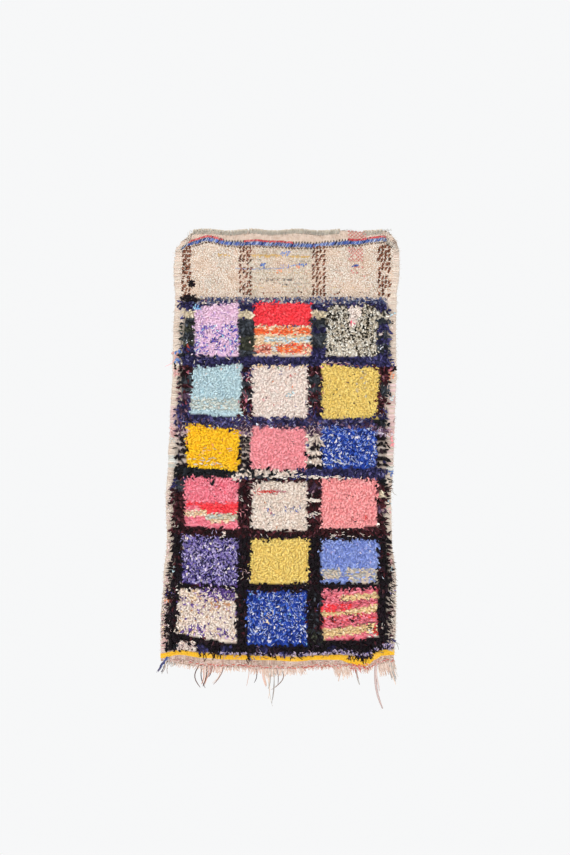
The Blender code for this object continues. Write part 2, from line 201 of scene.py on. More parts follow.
# Corners of the squares: drop is how far the top and foot edges fall from left to right,
# and lean is how far the left and right edges move across on the way down.
SQUARES = table("name left right top foot palette top_drop foot_drop left_lean right_lean", (
    ("square_r1_c1", -328, -168, 284, 458, "lilac", -18, 6, 0, 2),
    ("square_r1_c2", -112, 94, 268, 460, "red", 4, 4, 0, 0),
    ("square_r1_c3", 146, 331, 278, 466, "salt_pepper", 2, 0, 0, 0),
    ("square_r2_c1", -331, -153, 496, 669, "light_blue", -4, 14, -12, -6),
    ("square_r2_c2", -122, 83, 493, 681, "cream_pink", 0, 4, 6, 0),
    ("square_r2_c3", 133, 342, 488, 688, "soft_yellow", 16, -6, 0, -12),
    ("square_r3_c1", -352, -160, 702, 858, "golden", 26, 18, -4, -6),
    ("square_r3_c2", -117, 76, 717, 870, "salmon", 3, 2, -8, 0),
    ("square_r3_c3", 133, 329, 712, 867, "royal", 8, -5, 0, 0),
    ("square_r4_c1", -362, -170, 892, 1073, "hot_pink", 8, 14, -4, 4),
    ("square_r4_c2", -119, 82, 914, 1086, "cream", -2, 4, -4, -4),
    ("square_r4_c3", 130, 333, 898, 1084, "light_salmon", 4, -8, -2, -6),
    ("square_r5_c1", -371, -169, 1100, 1282, "violet", 20, 6, 0, 0),
    ("square_r5_c2", -124, 88, 1120, 1280, "soft_yellow", -4, 0, -4, -4),
    ("square_r5_c3", 130, 335, 1120, 1278, "periwinkle", 0, 0, 0, 0),
    ("square_r6_c1", -378, -176, 1296, 1462, "cream", 6, 30, -14, 0),
    ("square_r6_c2", -137, 79, 1306, 1494, "royal", 0, 0, 0, 0),
    ("square_r6_c3", 133, 335, 1303, 1482, "hot_pink", -8, -10, 0, 0),
))
COLUMNS = 3
# Areas of other colours laid over the squares.
SQUARE_PATCHES = patches((
    (-328, -300, 264, 292, "sky", 0.85), (-300, -280, 262, 284, "purple_fleck", 0.6),
    (-120, 100, 350, 500, "warm_cream"), (-120, 100, 350, 357, "denim", 0.3),
    (-112, -58, 357, 383, "orange"), (-50, 30, 357, 384, "orange"), (-50, -42, 357, 370, "warm_cream"),
    (38, 96, 359, 382, "orange", 0.9), (-70, 100, 392, 412, "pale_blue", 0.85),
    (-112, -46, 420, 450, "coral", 0.85), (-46, -28, 422, 446, "pale_blue", 0.9),
    (-28, 62, 418, 450, "orange", 0.8), (-28, 62, 418, 450, "coral", 0.3),
    (62, 100, 414, 452, "coral", 0.5), (-120, 100, 454, 474, "cream", 0.8),
    (146, 331, 278, 372, "ink", 0.13), (230, 278, 281, 320, "cream_pink", 0.95),
    (232, 259, 320, 352, "cream_pink", 0.9), (236, 252, 334, 356, "hot_pink", 0.4),
    (-345, -150, 610, 652, "grey_beige", 0.8, -6), (-340, -160, 500, 660, "tuft_pale", 0.012),
    (-115, 86, 493, 684, "grey_speck", 0.012), (-115, 86, 493, 684, "specks", 0.012),
    (133, 342, 493, 684, "dark_specks", 0.010), (250, 300, 520, 620, "khaki", 0.07),
    (-85, -58, 608, 624, "tuft_pink", 0.4), (8, 32, 588, 606, "light_blue", 0.3),
    (-350, -160, 700, 880, "peach", 0.012), (-340, -300, 700, 740, "peach", 0.05),
    (-120, 80, 716, 875, "grey_speck", 0.008), (-310, -160, 988, 1026, "red"),
    (-356, -310, 986, 1000, "red", 0.8), (-362, -284, 1018, 1040, "warm_cream", 1.0, 6),
    (-282, -160, 1028, 1052, "grey_beige"), (-282, -160, 1028, 1052, "khaki", 0.6),
    (-270, -200, 1048, 1062, "warm_cream", 0.8), (-362, -169, 896, 1080, "dark_specks", 0.015),
    (-119, 80, 914, 1087, "specks", 0.012), (130, 331, 900, 1080, "dark_specks", 0.006),
    (-371, -169, 1100, 1290, "pale_lilac", 0.03), (-371, -169, 1100, 1290, "cream", 0.03),
    (133, 335, 1110, 1225, "violet_hem", 0.03), (134, 196, 1228, 1262, "beige_strip"),
    (196, 226, 1232, 1256, "beige_strip", 0.5), (226, 345, 1226, 1262, "beige_strip", 0.9),
    (236, 345, 1260, 1284, "beige_strip", 0.8), (-400, -176, 1290, 1362, "purple_fleck", 0.18),
    (-306, -180, 1284, 1330, "purple_fleck", 0.8, -16), (-385, -176, 1330, 1420, "tan", 0.05),
    (-290, -200, 1336, 1362, "tan", 0.35, -12), (-385, -240, 1300, 1350, "warm_cream", 0.15),
    (-350, -290, 1430, 1465, "purple_fleck", 0.55), (-240, -205, 1440, 1470, "purple_fleck", 0.6),
    (-385, -176, 1362, 1494, "purple_fleck", 0.05), (-385, -176, 1298, 1494, "warm_cream", 0.03),
    (133, 345, 1290, 1500, "deep_pink", 0.45), (196, 340, 1324, 1345, "beige_band", 1.0, 13),
    (133, 240, 1356, 1386, "red", 0.7, 6), (228, 345, 1376, 1394, "beige_band", 1.0, 20),
    (268, 345, 1364, 1390, "beige_band", 1.0, 12), (133, 240, 1384, 1398, "beige_band", 1.0, 8),
    (133, 335, 1400, 1432, "red_bit", 0.14, 18), (133, 345, 1445, 1475, "beige_band", 1.0, 26),
    (300, 340, 1444, 1490, "cream", 0.8), (318, 345, 1432, 1462, "red_bit", 0.8),
))
# Squares of mixed rags, whose flecks come in clumps.
FLECKS = table("square palette share size top", (
    ("square_r1_c1", "lilac_fleck", 0.78, 26.0, 348), ("square_r1_c1", "lilac_fleck", 0.06, 26.0, 310),
    ("square_r3_c3", "royal_hem", 0.14, 15.0, 700), ("square_r3_c3", "milky", 0.13, 21.0, 740),
    ("square_r3_c3", "periwinkle", 0.06, 19.0, 700), ("square_r5_c1", "violet_hem", 0.12, 17.0, 1090),
    ("square_r6_c2", "royal_hem", 0.14, 14.0, 1290), ("square_r6_c2", "milky", 0.09, 22.0, 1350),
    ("square_r6_c2", "sky", 0.012, 19.0, 1290),
))
# Where bands of colour have even edges, because their rags lie sideways.
BANDS = table("square top foot", (
    ("square_r1_c2", 352, 474), ("square_r2_c1", 612, 652), ("square_r4_c1", 984, 1062),
    ("square_r5_c3", 1224, 1286), ("square_r6_c3", 1290, 1500),
))
# Rags that show as narrow flecks, and how wide they are beside the others.
SLIM = ("royal_hem", "violet_hem", "lilac_fleck", "specks", "dark_specks", "grey_speck", "tan")
SLIM_SHARE = 0.55
# Colours of the dark ground, from its top to its foot.
GROUND_PATCHES = patches((
    (-460, 460, 200, 274, "denim"), (-371, -302, 240, 266, "black"), (-400, -330, 266, 300, "navy"),
    (-330, 460, 274, 298, "navy"), (-460, 148, 296, 325, "khaki"), (-460, 460, 325, 470, "navy"),
    (331, 388, 300, 330, "salt_pepper", 0.9), (-353, -340, 418, 440, "coral", 0.6),
    (-140, -124, 414, 438, "coral", 0.45), (-460, 460, 462, 500, "navy"),
    (-400, -371, 482, 500, "cream", 0.6), (-340, 150, 488, 500, "cream", 0.12),
    (-460, 460, 500, 680, "maroon"), (-460, 460, 500, 680, "dusty_pink", 0.05),
    (-390, -335, 535, 560, "charcoal", 0.95), (-390, -335, 575, 590, "charcoal", 0.95),
    (-390, -335, 596, 622, "plum", 0.9), (-165, -116, 550, 572, "charcoal", 0.95),
    (-165, -116, 584, 612, "charcoal", 0.7), (85, 132, 532, 562, "charcoal", 0.95),
    (85, 132, 568, 594, "charcoal", 0.95), (85, 132, 606, 628, "charcoal", 0.8),
    (345, 388, 560, 606, "charcoal", 0.95), (-460, 460, 641, 691, "navy", 0.5),
    (-460, 460, 677, 716, "navy"), (320, 460, 690, 730, "black_cool"),
    (-120, -30, 686, 716, "white", 0.12), (-390, 330, 686, 716, "plum", 0.22),
    (-390, 330, 686, 716, "navy_hem", 0.10), (-460, 460, 716, 752, "plum"),
    (-460, 460, 730, 752, "selvedge_pink", 0.28), (-460, 460, 752, 866, "black", 0.8),
    (-175, -112, 748, 800, "pale_ground", 0.6), (66, 142, 744, 852, "pale_ground", 0.9),
    (-36, 75, 862, 884, "pale_ground", 0.5), (-460, 40, 858, 900, "black_cool"),
    (-185, 40, 868, 900, "pale_ground", 0.65), (-190, -160, 880, 905, "pale_ground", 0.7),
    (-118, -30, 890, 925, "charcoal", 0.85), (-390, -365, 890, 912, "maroon"),
    (40, 460, 864, 904, "navy"), (-392, -340, 912, 945, "charcoal"), (-340, 460, 904, 1120, "maroon"),
    (-460, -340, 945, 1120, "maroon"), (334, 385, 904, 925, "black_cool"),
    (338, 385, 950, 972, "khaki", 0.85), (334, 385, 1004, 1028, "plum", 0.85),
    (360, 376, 990, 1012, "red_bit", 0.9), (-372, -350, 970, 990, "white", 0.3),
    (-460, 460, 900, 1100, "cream", 0.010), (80, 132, 915, 956, "plum", 0.55),
    (-460, 460, 1110, 1560, "black"), (-460, 460, 1110, 1494, "maroon", 0.12),
    (80, 135, 1300, 1500, "charcoal", 0.10), (84, 130, 1440, 1500, "olive", 0.3),
    (-404, -360, 1490, 1530, "black_cool", 0.9), (-376, -324, 1484, 1530, "pale_ground", 0.85),
    (-318, -280, 1492, 1522, "navy", 0.9), (-227, -190, 1500, 1540, "navy", 0.9),
    (-90, -60, 1500, 1512, "navy", 0.8), (-50, 120, 1512, 1545, "navy", 0.6),
    (150, 220, 1500, 1530, "navy", 0.5), (360, 400, 1486, 1500, "navy", 0.8),
))
# Where whole blots of a second colour come between, in the gaps beside the squares.
BLOTS = table("top foot first second size share", (
    (326, 462, "navy", "charcoal", 25, 0.36), (326, 462, "navy", "olive", 25, 0.22),
    (500, 677, "maroon", "plum", 25, 0.15), (500, 677, "maroon", "navy", 25, 0.12),
    (800, 900, "black", "charcoal", 22, 0.40),
))
# Where rows of dark rags alternate with bare pale cloth.
STRIPES = table("left right top foot pitch dark pale", (
    (-420, -338, 748, 860, 14.5, "black", "bare_ground"),
    (328, 400, 752, 866, 24.0, "black", "bare_ground"),
    (-175, -112, 752, 866, 15.5, "black", "bare_ground"),
    (86, 140, 786, 806, 24.0, "black", "pale_ground"), (72, 140, 816, 846, 30.0, "black", "pale_ground"),
))
# Coloured ends that lie on the bare selvedges.
SELVEDGE_TUFTS = patches((
    (-345, -332, 190, 211, "black", 3.0), (-376, -330, 242, 260, "black", 1.5),
    (-384, -346, 264, 290, "navy", 1.2), (378, 396, 306, 316, "light_blue", 0.7),
    (384, 394, 336, 346, "black", 0.5), (380, 394, 345, 360, "cream", 0.8),
    (-402, -372, 440, 450, "blue_line"), (-400, -376, 468, 482, "blue_line"),
    (-404, -384, 450, 468, "tuft_pink"), (-400, -372, 482, 500, "cream", 0.6),
    (-400, -380, 484, 506, "black", 0.35), (-402, -376, 504, 532, "tuft_pink"),
    (-418, -390, 716, 756, "tuft_pink", 0.8), (-416, -402, 752, 770, "selvedge_grey"),
    (-420, -396, 1080, 1096, "maroon", 0.4), (-414, -400, 972, 988, "selvedge_grey", 0.8),
    (-416, -402, 1220, 1238, "light_blue", 0.8), (-432, -398, 1310, 1332, "violet", 0.9),
    (-436, -408, 1338, 1352, "peach", 0.7), (-438, -408, 1375, 1400, "plum", 0.5),
    (-442, -420, 1480, 1510, "tuft_pink", 0.7), (-432, -412, 930, 1060, "tuft_pale", 0.25),
    (-432, -410, 1130, 1215, "tuft_pale", 0.3), (-440, -416, 1250, 1480, "tuft_pale", 0.3),
    (-438, -414, 1400, 1480, "maroon", 0.1), (382, 399, 492, 512, "black", 0.9),
    (391, 402, 486, 504, "navy_hem", 0.9), (372, 390, 514, 544, "peach", 0.8),
    (374, 392, 600, 618, "pale_blue", 0.9), (370, 392, 730, 752, "tuft_pink", 0.9),
    (384, 400, 752, 784, "salmon", 0.6), (384, 402, 880, 890, "blue_line"),
    (380, 390, 1010, 1024, "tuft_pink", 0.8), (378, 388, 984, 1000, "light_blue", 0.5),
    (372, 392, 1192, 1212, "tuft_pink"), (374, 390, 1216, 1236, "light_blue", 0.6),
    (372, 396, 1308, 1322, "violet", 0.8), (374, 402, 1486, 1496, "navy", 0.6),
))
# Colour of the selvedge weft down each side.
SELVEDGE_PATCHES = patches((
    (-460, 460, 0, 1700, "selvedge"), (-460, -380, 640, 760, "selvedge_pink", 0.7),
    (-460, -380, 820, 870, "selvedge_grey", 0.6), (-460, -380, 1370, 1560, "selvedge_pink", 0.5),
    (380, 460, 560, 860, "selvedge_pink", 0.6), (380, 460, 700, 860, "bare_ground", 0.45),
    (380, 460, 850, 880, "selvedge_grey", 0.7),
))
HEADING_PATCHES = patches((
    (-460, 460, 60, 260, "heading"), (-130, 100, 70, 250, "heading_grey", 0.8),
    (-240, -200, 92, 101, "faint_yellow", 0.8), (-122, -10, 95, 103, "faint_yellow", 0.9),
    (18, 90, 98, 105, "faint_yellow", 0.8), (-16, 20, 82, 101, "blue_line", 0.9),
    (-88, -70, 124, 142, "blue_line", 0.9), (-18, 18, 130, 144, "blue_line", 0.8),
    (20, 96, 128, 136, "blue_line", 0.4), (-30, -10, 148, 160, "peach", 0.9),
    (42, 54, 134, 146, "peach", 0.9), (-100, 60, 184, 190, "grey_speck", 0.30),
    (-90, 70, 200, 206, "grey_speck", 0.30), (-90, 60, 226, 238, "brown_speck", 0.30),
    (170, 200, 226, 238, "brown_speck", 0.40), (246, 266, 129, 138, "blue_line"),
    (-345, -325, 192, 218, "black"),
))
# Thin coloured wefts that show here and there across the heading.
HEADING_WEFTS = table("left right depth palette share thick", (
    (-122, -6, 97, "faint_yellow", 0.9, 1.6), (10, 92, 101, "faint_yellow", 0.7, 1.6),
    (-236, -204, 95, "faint_yellow", 0.6, 1.3), (-176, -4, 145, "blue_line", 0.95, 1.0),
    (-86, -72, 134, "blue_line", 1.0, 2.4), (-84, -76, 128, "blue_line", 1.0, 2.0),
    (244, 262, 135, "corner_blue", 1.0, 1.8), (254, 268, 131, "corner_blue", 1.0, 2.2),
    (24, 130, 133, "blue_line", 0.4, 1.0), (-126, -36, 112, "grey_speck", 0.5, 0.8),
    (20, 96, 118, "grey_speck", 0.4, 0.8), (-104, 90, 160, "faint_yellow", 0.35, 0.9),
    (-104, 90, 182, "grey_speck", 0.55, 0.8), (-110, 90, 198, "grey_speck", 0.5, 0.8),
    (-110, 90, 212, "faint_yellow", 0.35, 0.9), (-120, 100, 232, "brown_speck", 0.3, 1.2),
    (-300, -180, 232, "dusty_rose", 0.25, 1.0), (160, 330, 214, "faint_yellow", 0.3, 0.9),
    (160, 330, 232, "under_speck", 0.2, 1.1),
))
# Columns of brown knots down the heading, with how bold they are.
BROWN_COLUMNS = table(
    "left right bold", ((-371, -340, 1.3), (-166, -120, 1.2), (97, 146, 1.35), (335, 380, 1.6))
)
BROWN_TOP, BROWN_ROW = 68, 15.5
# The lattice of the checked rag.
CHECKS = table("left right top foot share", (
    (230, 287, 9, 38, 1.0), (232, 284, 70, 118, 0.85), (240, 284, 140, 176, 0.35),
))
CHECK_STEP = 6.6
# How wide the bare selvedges are at some depths.
LEFT_BARE = (
    (250, 20), (300, 22), (430, 20), (460, 10), (500, 18), (630, 20), (650, 8), (700, 12), (745, 16),
    (860, 18), (900, 10), (940, 16), (1000, 14), (1060, 12), (1250, 16), (1400, 12), (1520, 8),
)
RIGHT_BARE = (
    (250, 28), (300, 16), (440, 12), (500, 6), (530, 18), (690, 20), (740, 12), (860, 12), (900, 8),
    (960, 4), (1030, 12), (1100, 2), (1180, 6), (1260, 12), (1420, 18), (1480, 16), (1520, 2),
)
# How far the outermost rags reach over the selvedges.
RAG_REACH = 10.0
# Thin pale or coloured threads and narrow rags among the others.
WISP_AREAS = table("left right top foot count palette broad", (
    (-300, 345, 244, 268, 45, "selvedge"), (-300, 345, 250, 276, 50, "navy"),
    (-358, -336, 396, 420, 4, "white"), (-330, -165, 468, 500, 10, "cream"),
    (-168, -120, 512, 560, 10, "dusty_pink"), (-162, -128, 524, 556, 8, "cream"),
    (-168, -120, 570, 660, 10, "dusty_pink"), (-390, -345, 510, 640, 6, "dusty_pink"),
    (-334, -308, 282, 298, 9, "sky", 2.2), (334, 350, 376, 390, 6, "tuft_pale", 2.4),
    (342, 352, 430, 440, 2, "white", 2.0), (-165, -110, 655, 685, 12, "khaki"),
    (85, 140, 500, 680, 14, "dusty_pink"), (340, 385, 520, 680, 12, "selvedge_pink"),
    (-290, -130, 688, 722, 24, "navy_hem"), (-290, -130, 688, 722, 10, "selvedge_grey"),
    (-130, 330, 684, 722, 40, "navy_hem"), (-130, 330, 690, 722, 14, "selvedge_pink"),
    (-390, -345, 712, 752, 24, "selvedge_pink"), (-180, -120, 712, 752, 22, "selvedge_pink"),
    (70, 140, 712, 752, 18, "selvedge_pink"), (330, 390, 720, 760, 20, "pale_lilac"),
    (-40, 100, 880, 904, 14, "cream"), (-78, -52, 984, 1000, 3, "specks"),
    (-68, -40, 1000, 1040, 9, "specks"), (18, 54, 1006, 1018, 9, "corner_blue"),
    (-60, -40, 1054, 1064, 2, "black"), (216, 244, 966, 976, 4, "black"),
    (234, 256, 1046, 1056, 3, "black"), (276, 300, 1040, 1054, 4, "red_bit"),
    (80, 128, 1024, 1044, 4, "white"), (-268, -252, 906, 922, 12, "black_cool", 2.6),
    (-182, -166, 886, 908, 10, "cream", 2.4), (-165, -122, 964, 980, 8, "cream"),
    (-160, -136, 1010, 1040, 6, "salmon"), (142, 220, 1096, 1116, 5, "cream"),
    (-366, -340, 1094, 1110, 2, "cream"), (-350, -180, 1090, 1110, 4, "violet_hem"),
    (-96, -62, 1096, 1120, 3, "cream"), (-400, -380, 1066, 1082, 4, "cream"),
    (-166, -132, 1236, 1248, 6, "tuft_pink"), (-160, -120, 1258, 1272, 3, "cream"),
    (-306, -180, 1288, 1318, 30, "purple_fleck", 2.6), (-306, -180, 1292, 1330, 18, "cream", 2.2),
    (-74, -58, 1414, 1428, 4, "warm_cream", 3.0), (-68, -46, 1474, 1490, 4, "milky", 3.0),
    (-390, -370, 1276, 1296, 3, "cream"), (352, 364, 1250, 1262, 2, "white"),
    (336, 360, 1424, 1446, 4, "cream"), (60, 84, 1258, 1290, 3, "cream"),
    (84, 130, 1330, 1400, 5, "navy_hem"), (86, 128, 1400, 1500, 10, "charcoal"),
    (-60, -30, 1370, 1420, 5, "warm_cream"), (150, 330, 1326, 1342, 16, "dark_specks"),
    (150, 300, 1400, 1430, 12, "dark_specks"), (180, 330, 1440, 1456, 10, "dark_specks"),
    (222, 234, 1388, 1398, 4, "ink", 1.6), (234, 252, 1402, 1420, 6, "ink", 1.5),
    (168, 182, 1400, 1416, 5, "ink", 1.5), (294, 312, 1432, 1440, 5, "ink", 1.8),
    (164, 178, 1304, 1340, 5, "ink", 0.9), (-240, -60, 1510, 1536, 20, "navy_hem"),
    (-120, 350, 1500, 1535, 40, "plum"),
), (1.0,))
# Rags and threads that lie in lines across the rug, with how far each line climbs from left to right.
LAID_LINES = table("left right depth rise count broad palette", (
    (-345, -245, 834, 2, 9, 1.6, "khaki"), (-330, -225, 849, -4, 12, 1.8, "khaki"),
    (-300, -190, 800, 4, 7, 0.8, "khaki"), (-90, 0, 892, -4, 12, 2.6, "pale_ground"),
    (-30, 110, 889, -6, 26, 2.0, "cream"), (100, 232, 895, -2, 26, 1.8, "cream"),
    (-20, 232, 903, -6, 22, 1.6, "black"), (-104, -30, 950, 1, 24, 1.1, "red_bit"),
    (-50, 8, 949, 0, 14, 1.0, "dusty_pink"), (70, 134, 978, -3, 26, 2.8, "cream"),
    (140, 235, 486, 0, 8, 1.2, "selvedge_pink"), (150, 330, 490, -6, 9, 1.0, "dusty_pink"),
    (80, 128, 1036, 12, 12, 1.7, "cream"), (150, 215, 1106, 4, 6, 1.0, "cream"),
    (170, 205, 842, 3, 5, 1.8, "selvedge_grey"), (210, 300, 1110, 5, 7, 1.0, "cream"),
    (-235, -205, 1104, 0, 4, 1.6, "cream"), (150, 335, 1440, 22, 14, 0.6, "dark_specks"),
    (200, 335, 1350, 14, 12, 0.6, "dark_specks"),
))
# Rows of short rags that lie out over the lower selvedges, and how far back from the edge they are knotted.
COMBS = table("side top foot pitch back broad palettes", (
    (1, 1206, 1480, 8.6, 17, 1.0, ("cream", "selvedge", "tuft_pale", "pale_ground")),
    (1, 1210, 1480, 8.6, 19, 0.55, ("black", "maroon")),
    (1, 1190, 1490, 10.0, 11, 0.4, ("fuzz_dark", "maroon")),
    (-1, 1288, 1470, 11.4, 15, 1.0, ("tuft_pale", "warm_cream", "plum", "tuft_pink")),
    (-1, 1294, 1470, 11.4, 17, 0.6, ("maroon", "black", "dusty_rose")),
    (-1, 1300, 1470, 16.0, 9, 0.4, ("fuzz_dark", "maroon")),
))
# The line of slanting stitches under the top edge, as (across, depth) of its corners.
LINE_ROUTE = (
    (-370, 62), (-340, 46), (-290, 32), (-252, 37), (-200, 46), (-126, 46), (18, 52), (110, 54), (198, 46),
    (300, 37), (355, 32), (376, 44), (396, 60),
)
# Where the red line shows, and where black and white stitches take its place.
RED_RUNS = ((-345, -220), (-146, 30), (230, 370))
DARK_RUNS = ((-222, -146), (30, 230))
DARK_PITCH = 10.4
BLUE_ENDS = 366.0
UNDER_PITCH = 11.5
OVERCAST_RUNS = (("overcast_left", -330, 198), ("overcast_right", 284, 352))
WRAP_PITCH = 3.9
WRAP_TALL = 12.0
WRAP_RINGS = 8
# The yellow stripe across the foot, as depths in the world.
STRIPE_EDGES = table("across top foot", (
    (-450, 1533, 1550), (-382, 1521, 1538), (-295, 1531, 1549), (-209, 1538, 1555), (-58, 1542, 1557),
    (36, 1545, 1562), (122, 1540, 1556), (194, 1537, 1556), (238, 1541, 1569), (272, 1548, 1579),
    (296, 1547, 1577), (325, 1528, 1555), (350, 1519, 1541), (396, 1520, 1538),
))
STRIPE_ROWS, STRIPE_STITCH = 6, 3.8
RIB_PITCH = 4.2
# Pale and lilac loops that peep out above the yellow stripe.
FOOT_BITS = table("left right tall palette share", (
    (-390, -318, 30, "tuft_pale", 1.3), (-380, -330, 26, "dark_specks", 0.12),
    (-240, -70, 7, "dim_lilac", 1.5), (-60, 20, 6, "dim_lilac", 1.2), (20, 150, 9, "dim_lilac", 1.4),
    (150, 335, 15, "dim_lilac", 1.1), (180, 330, 15, "violet", 0.25), (335, 392, 18, "dim_lilac", 1.2),
))
# Threads of the dark rags that hang over the stripe, and repairs stitched across it.
THREADS = table("left right top drop count palette", (
    (-402, -392, 1520, 14, 2, "dark_specks"), (-312, -296, 1528, 22, 3, "black"),
    (-292, -262, 1522, 44, 8, "black"), (-262, -226, 1524, 34, 8, "black"),
    (-290, -230, 1520, 24, 8, "maroon"), (-140, -122, 1534, 36, 4, "black"),
    (-64, -32, 1538, 22, 3, "black"), (18, 24, 1544, 18, 2, "black"), (44, 52, 1542, 16, 1, "black"),
    (222, 262, 1540, 24, 7, "maroon"), (240, 300, 1540, 30, 14, "black"),
    (300, 322, 1536, 16, 4, "maroon"),
))
THREAD_RINGS = 9
# The reddish thread that closes the foot band, and how much of it shows from left to right.
RED_LINE = (
    (-342, 1563), (-295, 1571), (-250, 1576), (-144, 1574), (-80, 1581), (40, 1586), (110, 1578),
    (200, 1577), (235, 1574), (300, 1584), (340, 1566), (370, 1556), (394, 1562),
)
RED_SHOWS = ((-342, 0.6), (-200, 0.9), (-120, 0.6), (120, 0.95), (230, 1.0), (392, 0.9))
BAND_SPECKS, DIP_STITCHES = 700, 60
# Long ends of the fringe: where each hangs from, how far it falls and drifts, and how it bows on the way.
STRANDS = table("across length drift bow size palette", (
    (-308, 78, 2, -18, 1.5, "fringe_dark"), (-296, 80, 8, -10, 1.3, "fringe_dark"),
    (-292, 66, -8, 2, 1.5, "fringe_red"), (-288, 60, -6, 4, 1.3, "fringe"),
    (-282, 74, -14, 4, 1.6, "fringe_dark"), (-276, 68, -16, 5, 1.5, "fringe_red"),
    (-268, 52, -18, 4, 1.3, "fringe"), (-262, 40, -14, 3, 1.2, "fringe_dark"),
    (-223, 64, -36, 6, 1.3, "fringe_dark"), (-226, 60, -34, 5, 1.0, "fringe_red"),
    (-132, 64, -8, 4, 0.9, "fringe"), (-104, 26, 2, 3, 1.2, "fringe_grey"),
    (-108, 52, -4, 8, 1.2, "fringe_dark"), (-80, 66, 12, -4, 1.6, "fringe_red"),
    (-74, 62, 8, -3, 1.8, "fringe"), (-68, 58, 8, 3, 1.7, "fringe"), (-62, 108, 2, 6, 1.2, "fringe"),
    (-56, 72, -4, 5, 1.4, "fringe_grey"), (-60, 136, 16, -5, 0.9, "fringe_grey"),
    (-43, 112, -2, 5, 1.1, "fringe_grey"), (-40, 128, -8, 3, 0.8, "fringe_grey"),
    (-30, 60, 4, 4, 1.1, "fringe_dark"), (-18, 76, -30, 22, 0.9, "fringe_dark"),
    (-14, 70, -22, 18, 0.8, "fringe_grey"), (60, 30, -3, 2, 1.3, "fringe"),
    (196, 54, -2, 3, 1.6, "fringe"), (205, 50, 6, 3, 1.8, "fringe"), (212, 46, 14, 3, 1.5, "fringe"),
    (259, 62, 10, -3, 2.0, "fringe_grey"), (252, 40, 14, -2, 1.4, "fringe_red"),
    (328, 158, 24, -9, 3.3, "fringe_mauve"), (331, 96, 10, -4, 2.4, "fringe_mauve"),
    (372, 60, 14, -2, 1.6, "fringe"), (378, 86, 22, -3, 1.8, "fringe"),
    (382, 76, 18, -3, 1.6, "fringe_grey"),
))
# Short frayed ends, thicker where they clump.
CLUMPS = table("left right length count drift palette", (
    (-430, -390, 16, 34, -6, "fringe_grey"), (-400, -300, 14, 46, -3, "fringe"),
    (-300, -225, 26, 70, -8, "fringe_red"), (-225, -120, 14, 60, -2, "fringe"),
    (-215, -195, 22, 10, 0, "fringe"), (-120, -85, 20, 28, -2, "fringe_red"),
    (-88, -50, 34, 56, 6, "fringe"), (-50, 20, 26, 74, -2, "fringe"), (16, 66, 24, 62, 6, "fringe"),
    (66, 184, 12, 66, 0, "fringe_red"), (176, 232, 36, 90, 6, "fringe"),
    (232, 300, 18, 44, 6, "fringe_red"), (300, 330, 12, 18, 0, "fringe_red"),
    (338, 392, 42, 120, 8, "fringe"), (366, 392, 62, 36, 12, "fringe_grey"),
))
FRINGE_RINGS = 8
# Loose threads, from a place (across, depth) to another in the world, with their bow.
LOOSE_THREADS = (
    (-342, 18, -394, 96, 14, "fuzz"), (-350, 14, -398, 84, 18, "selvedge_grey"),
    (-344, 10, -402, 92, 22, "fuzz"), (-336, 22, -380, 70, 10, "fuzz_grey"),
    (-394, 460, -433, 498, 8, "salmon"), (352, 10, 398, 72, -14, "fuzz_grey"),
    (374, 8, 398, 62, -18, "fuzz"), (380, 22, 404, 70, -14, "fuzz"), (388, 34, 400, 80, 10, "fuzz"),
    (366, 6, 402, 34, -10, "fuzz"), (360, 14, 404, 84, -10, "fuzz_grey"),
    (-352, 395, -346, 432, 8, "white"), (-350, 360, -340, 398, 6, "white"),
    (376, 1180, 396, 1250, -16, "fuzz_grey"), (384, 1236, 408, 1272, -6, "fuzz_dark"),
    (388, 1300, 404, 1360, -10, "fuzz_grey"), (390, 1330, 400, 1392, -12, "fuzz_grey"),
    (390, 1476, 414, 1500, -4, "fuzz_dark"), (392, 1486, 410, 1520, 4, "fuzz_grey"),
    (388, 940, 404, 962, -6, "fuzz_grey"), (392, 700, 402, 682, 4, "fuzz_dark"),
    (-396, 424, -374, 421, 4, "fuzz_dark"),
)


def srgb_to_linear(code):
    """A colour such as #e9d3bc as three linear numbers."""
    values = np.array([int(code[place : place + 2], 16) / 255 for place in (1, 3, 5)])
    return np.where(values <= 0.04045, values / 12.92, ((values + 0.055) / 1.055) ** 2.4)


def eased(rows, key, value, at):
    """Values read from a table with an even ease from row to row."""
    places = np.array([getattr(row, key) for row in rows], float)
    values = np.array([getattr(row, value) for row in rows], float)
    at = np.clip(at, places[0], places[-1])
    upper = np.clip(np.searchsorted(places, at), 1, len(places) - 1)
    share = (at - places[upper - 1]) / (places[upper] - places[upper - 1])
    ease = share * share * (3 - 2 * share)
    return values[upper - 1] + (values[upper] - values[upper - 1]) * ease


def between(route, at):
    """Values read from pairs of numbers, straight from pair to pair."""
    return np.interp(at, *zip(*route))


def left_edge(depth):
    return eased(OUTLINE, "depth", "left", depth)


def right_edge(depth):
    return eased(OUTLINE, "depth", "right", depth)


def stripe_top(across):
    return eased(STRIPE_EDGES, "across", "top", across)


def stripe_foot(across):
    return eased(STRIPE_EDGES, "across", "foot", across)


def height(across, depth):
    """World Z in millimetres of a place on the cloth."""
    near_top = np.clip(1 - (depth - CLOTH_TOP) / SCALLOP_REACH, 0, 1)
    near_foot = np.clip((depth - SAG_STARTS) / (CLOTH_FOOT - SAG_STARTS), 0, None)
    scallop = SCALLOP_DEPTH * (0.5 - 0.5 * np.cos((across - SCALLOP_CREST) / SCALLOP_PITCH * math.tau))
    return -depth - scallop * near_top - eased(FOOT_SAG, "across", "drop", across) * near_foot**1.5


def foot_height(across):
    """World Z in millimetres of the foot of the cloth."""
    return height(across, np.full(len(across), float(CLOTH_FOOT)))


def pairs(first, second):
    return np.column_stack([first, second])


def on_cloth(across, depth):
    """World (X, Z) of places on the cloth."""
    return pairs(across, height(across, depth))


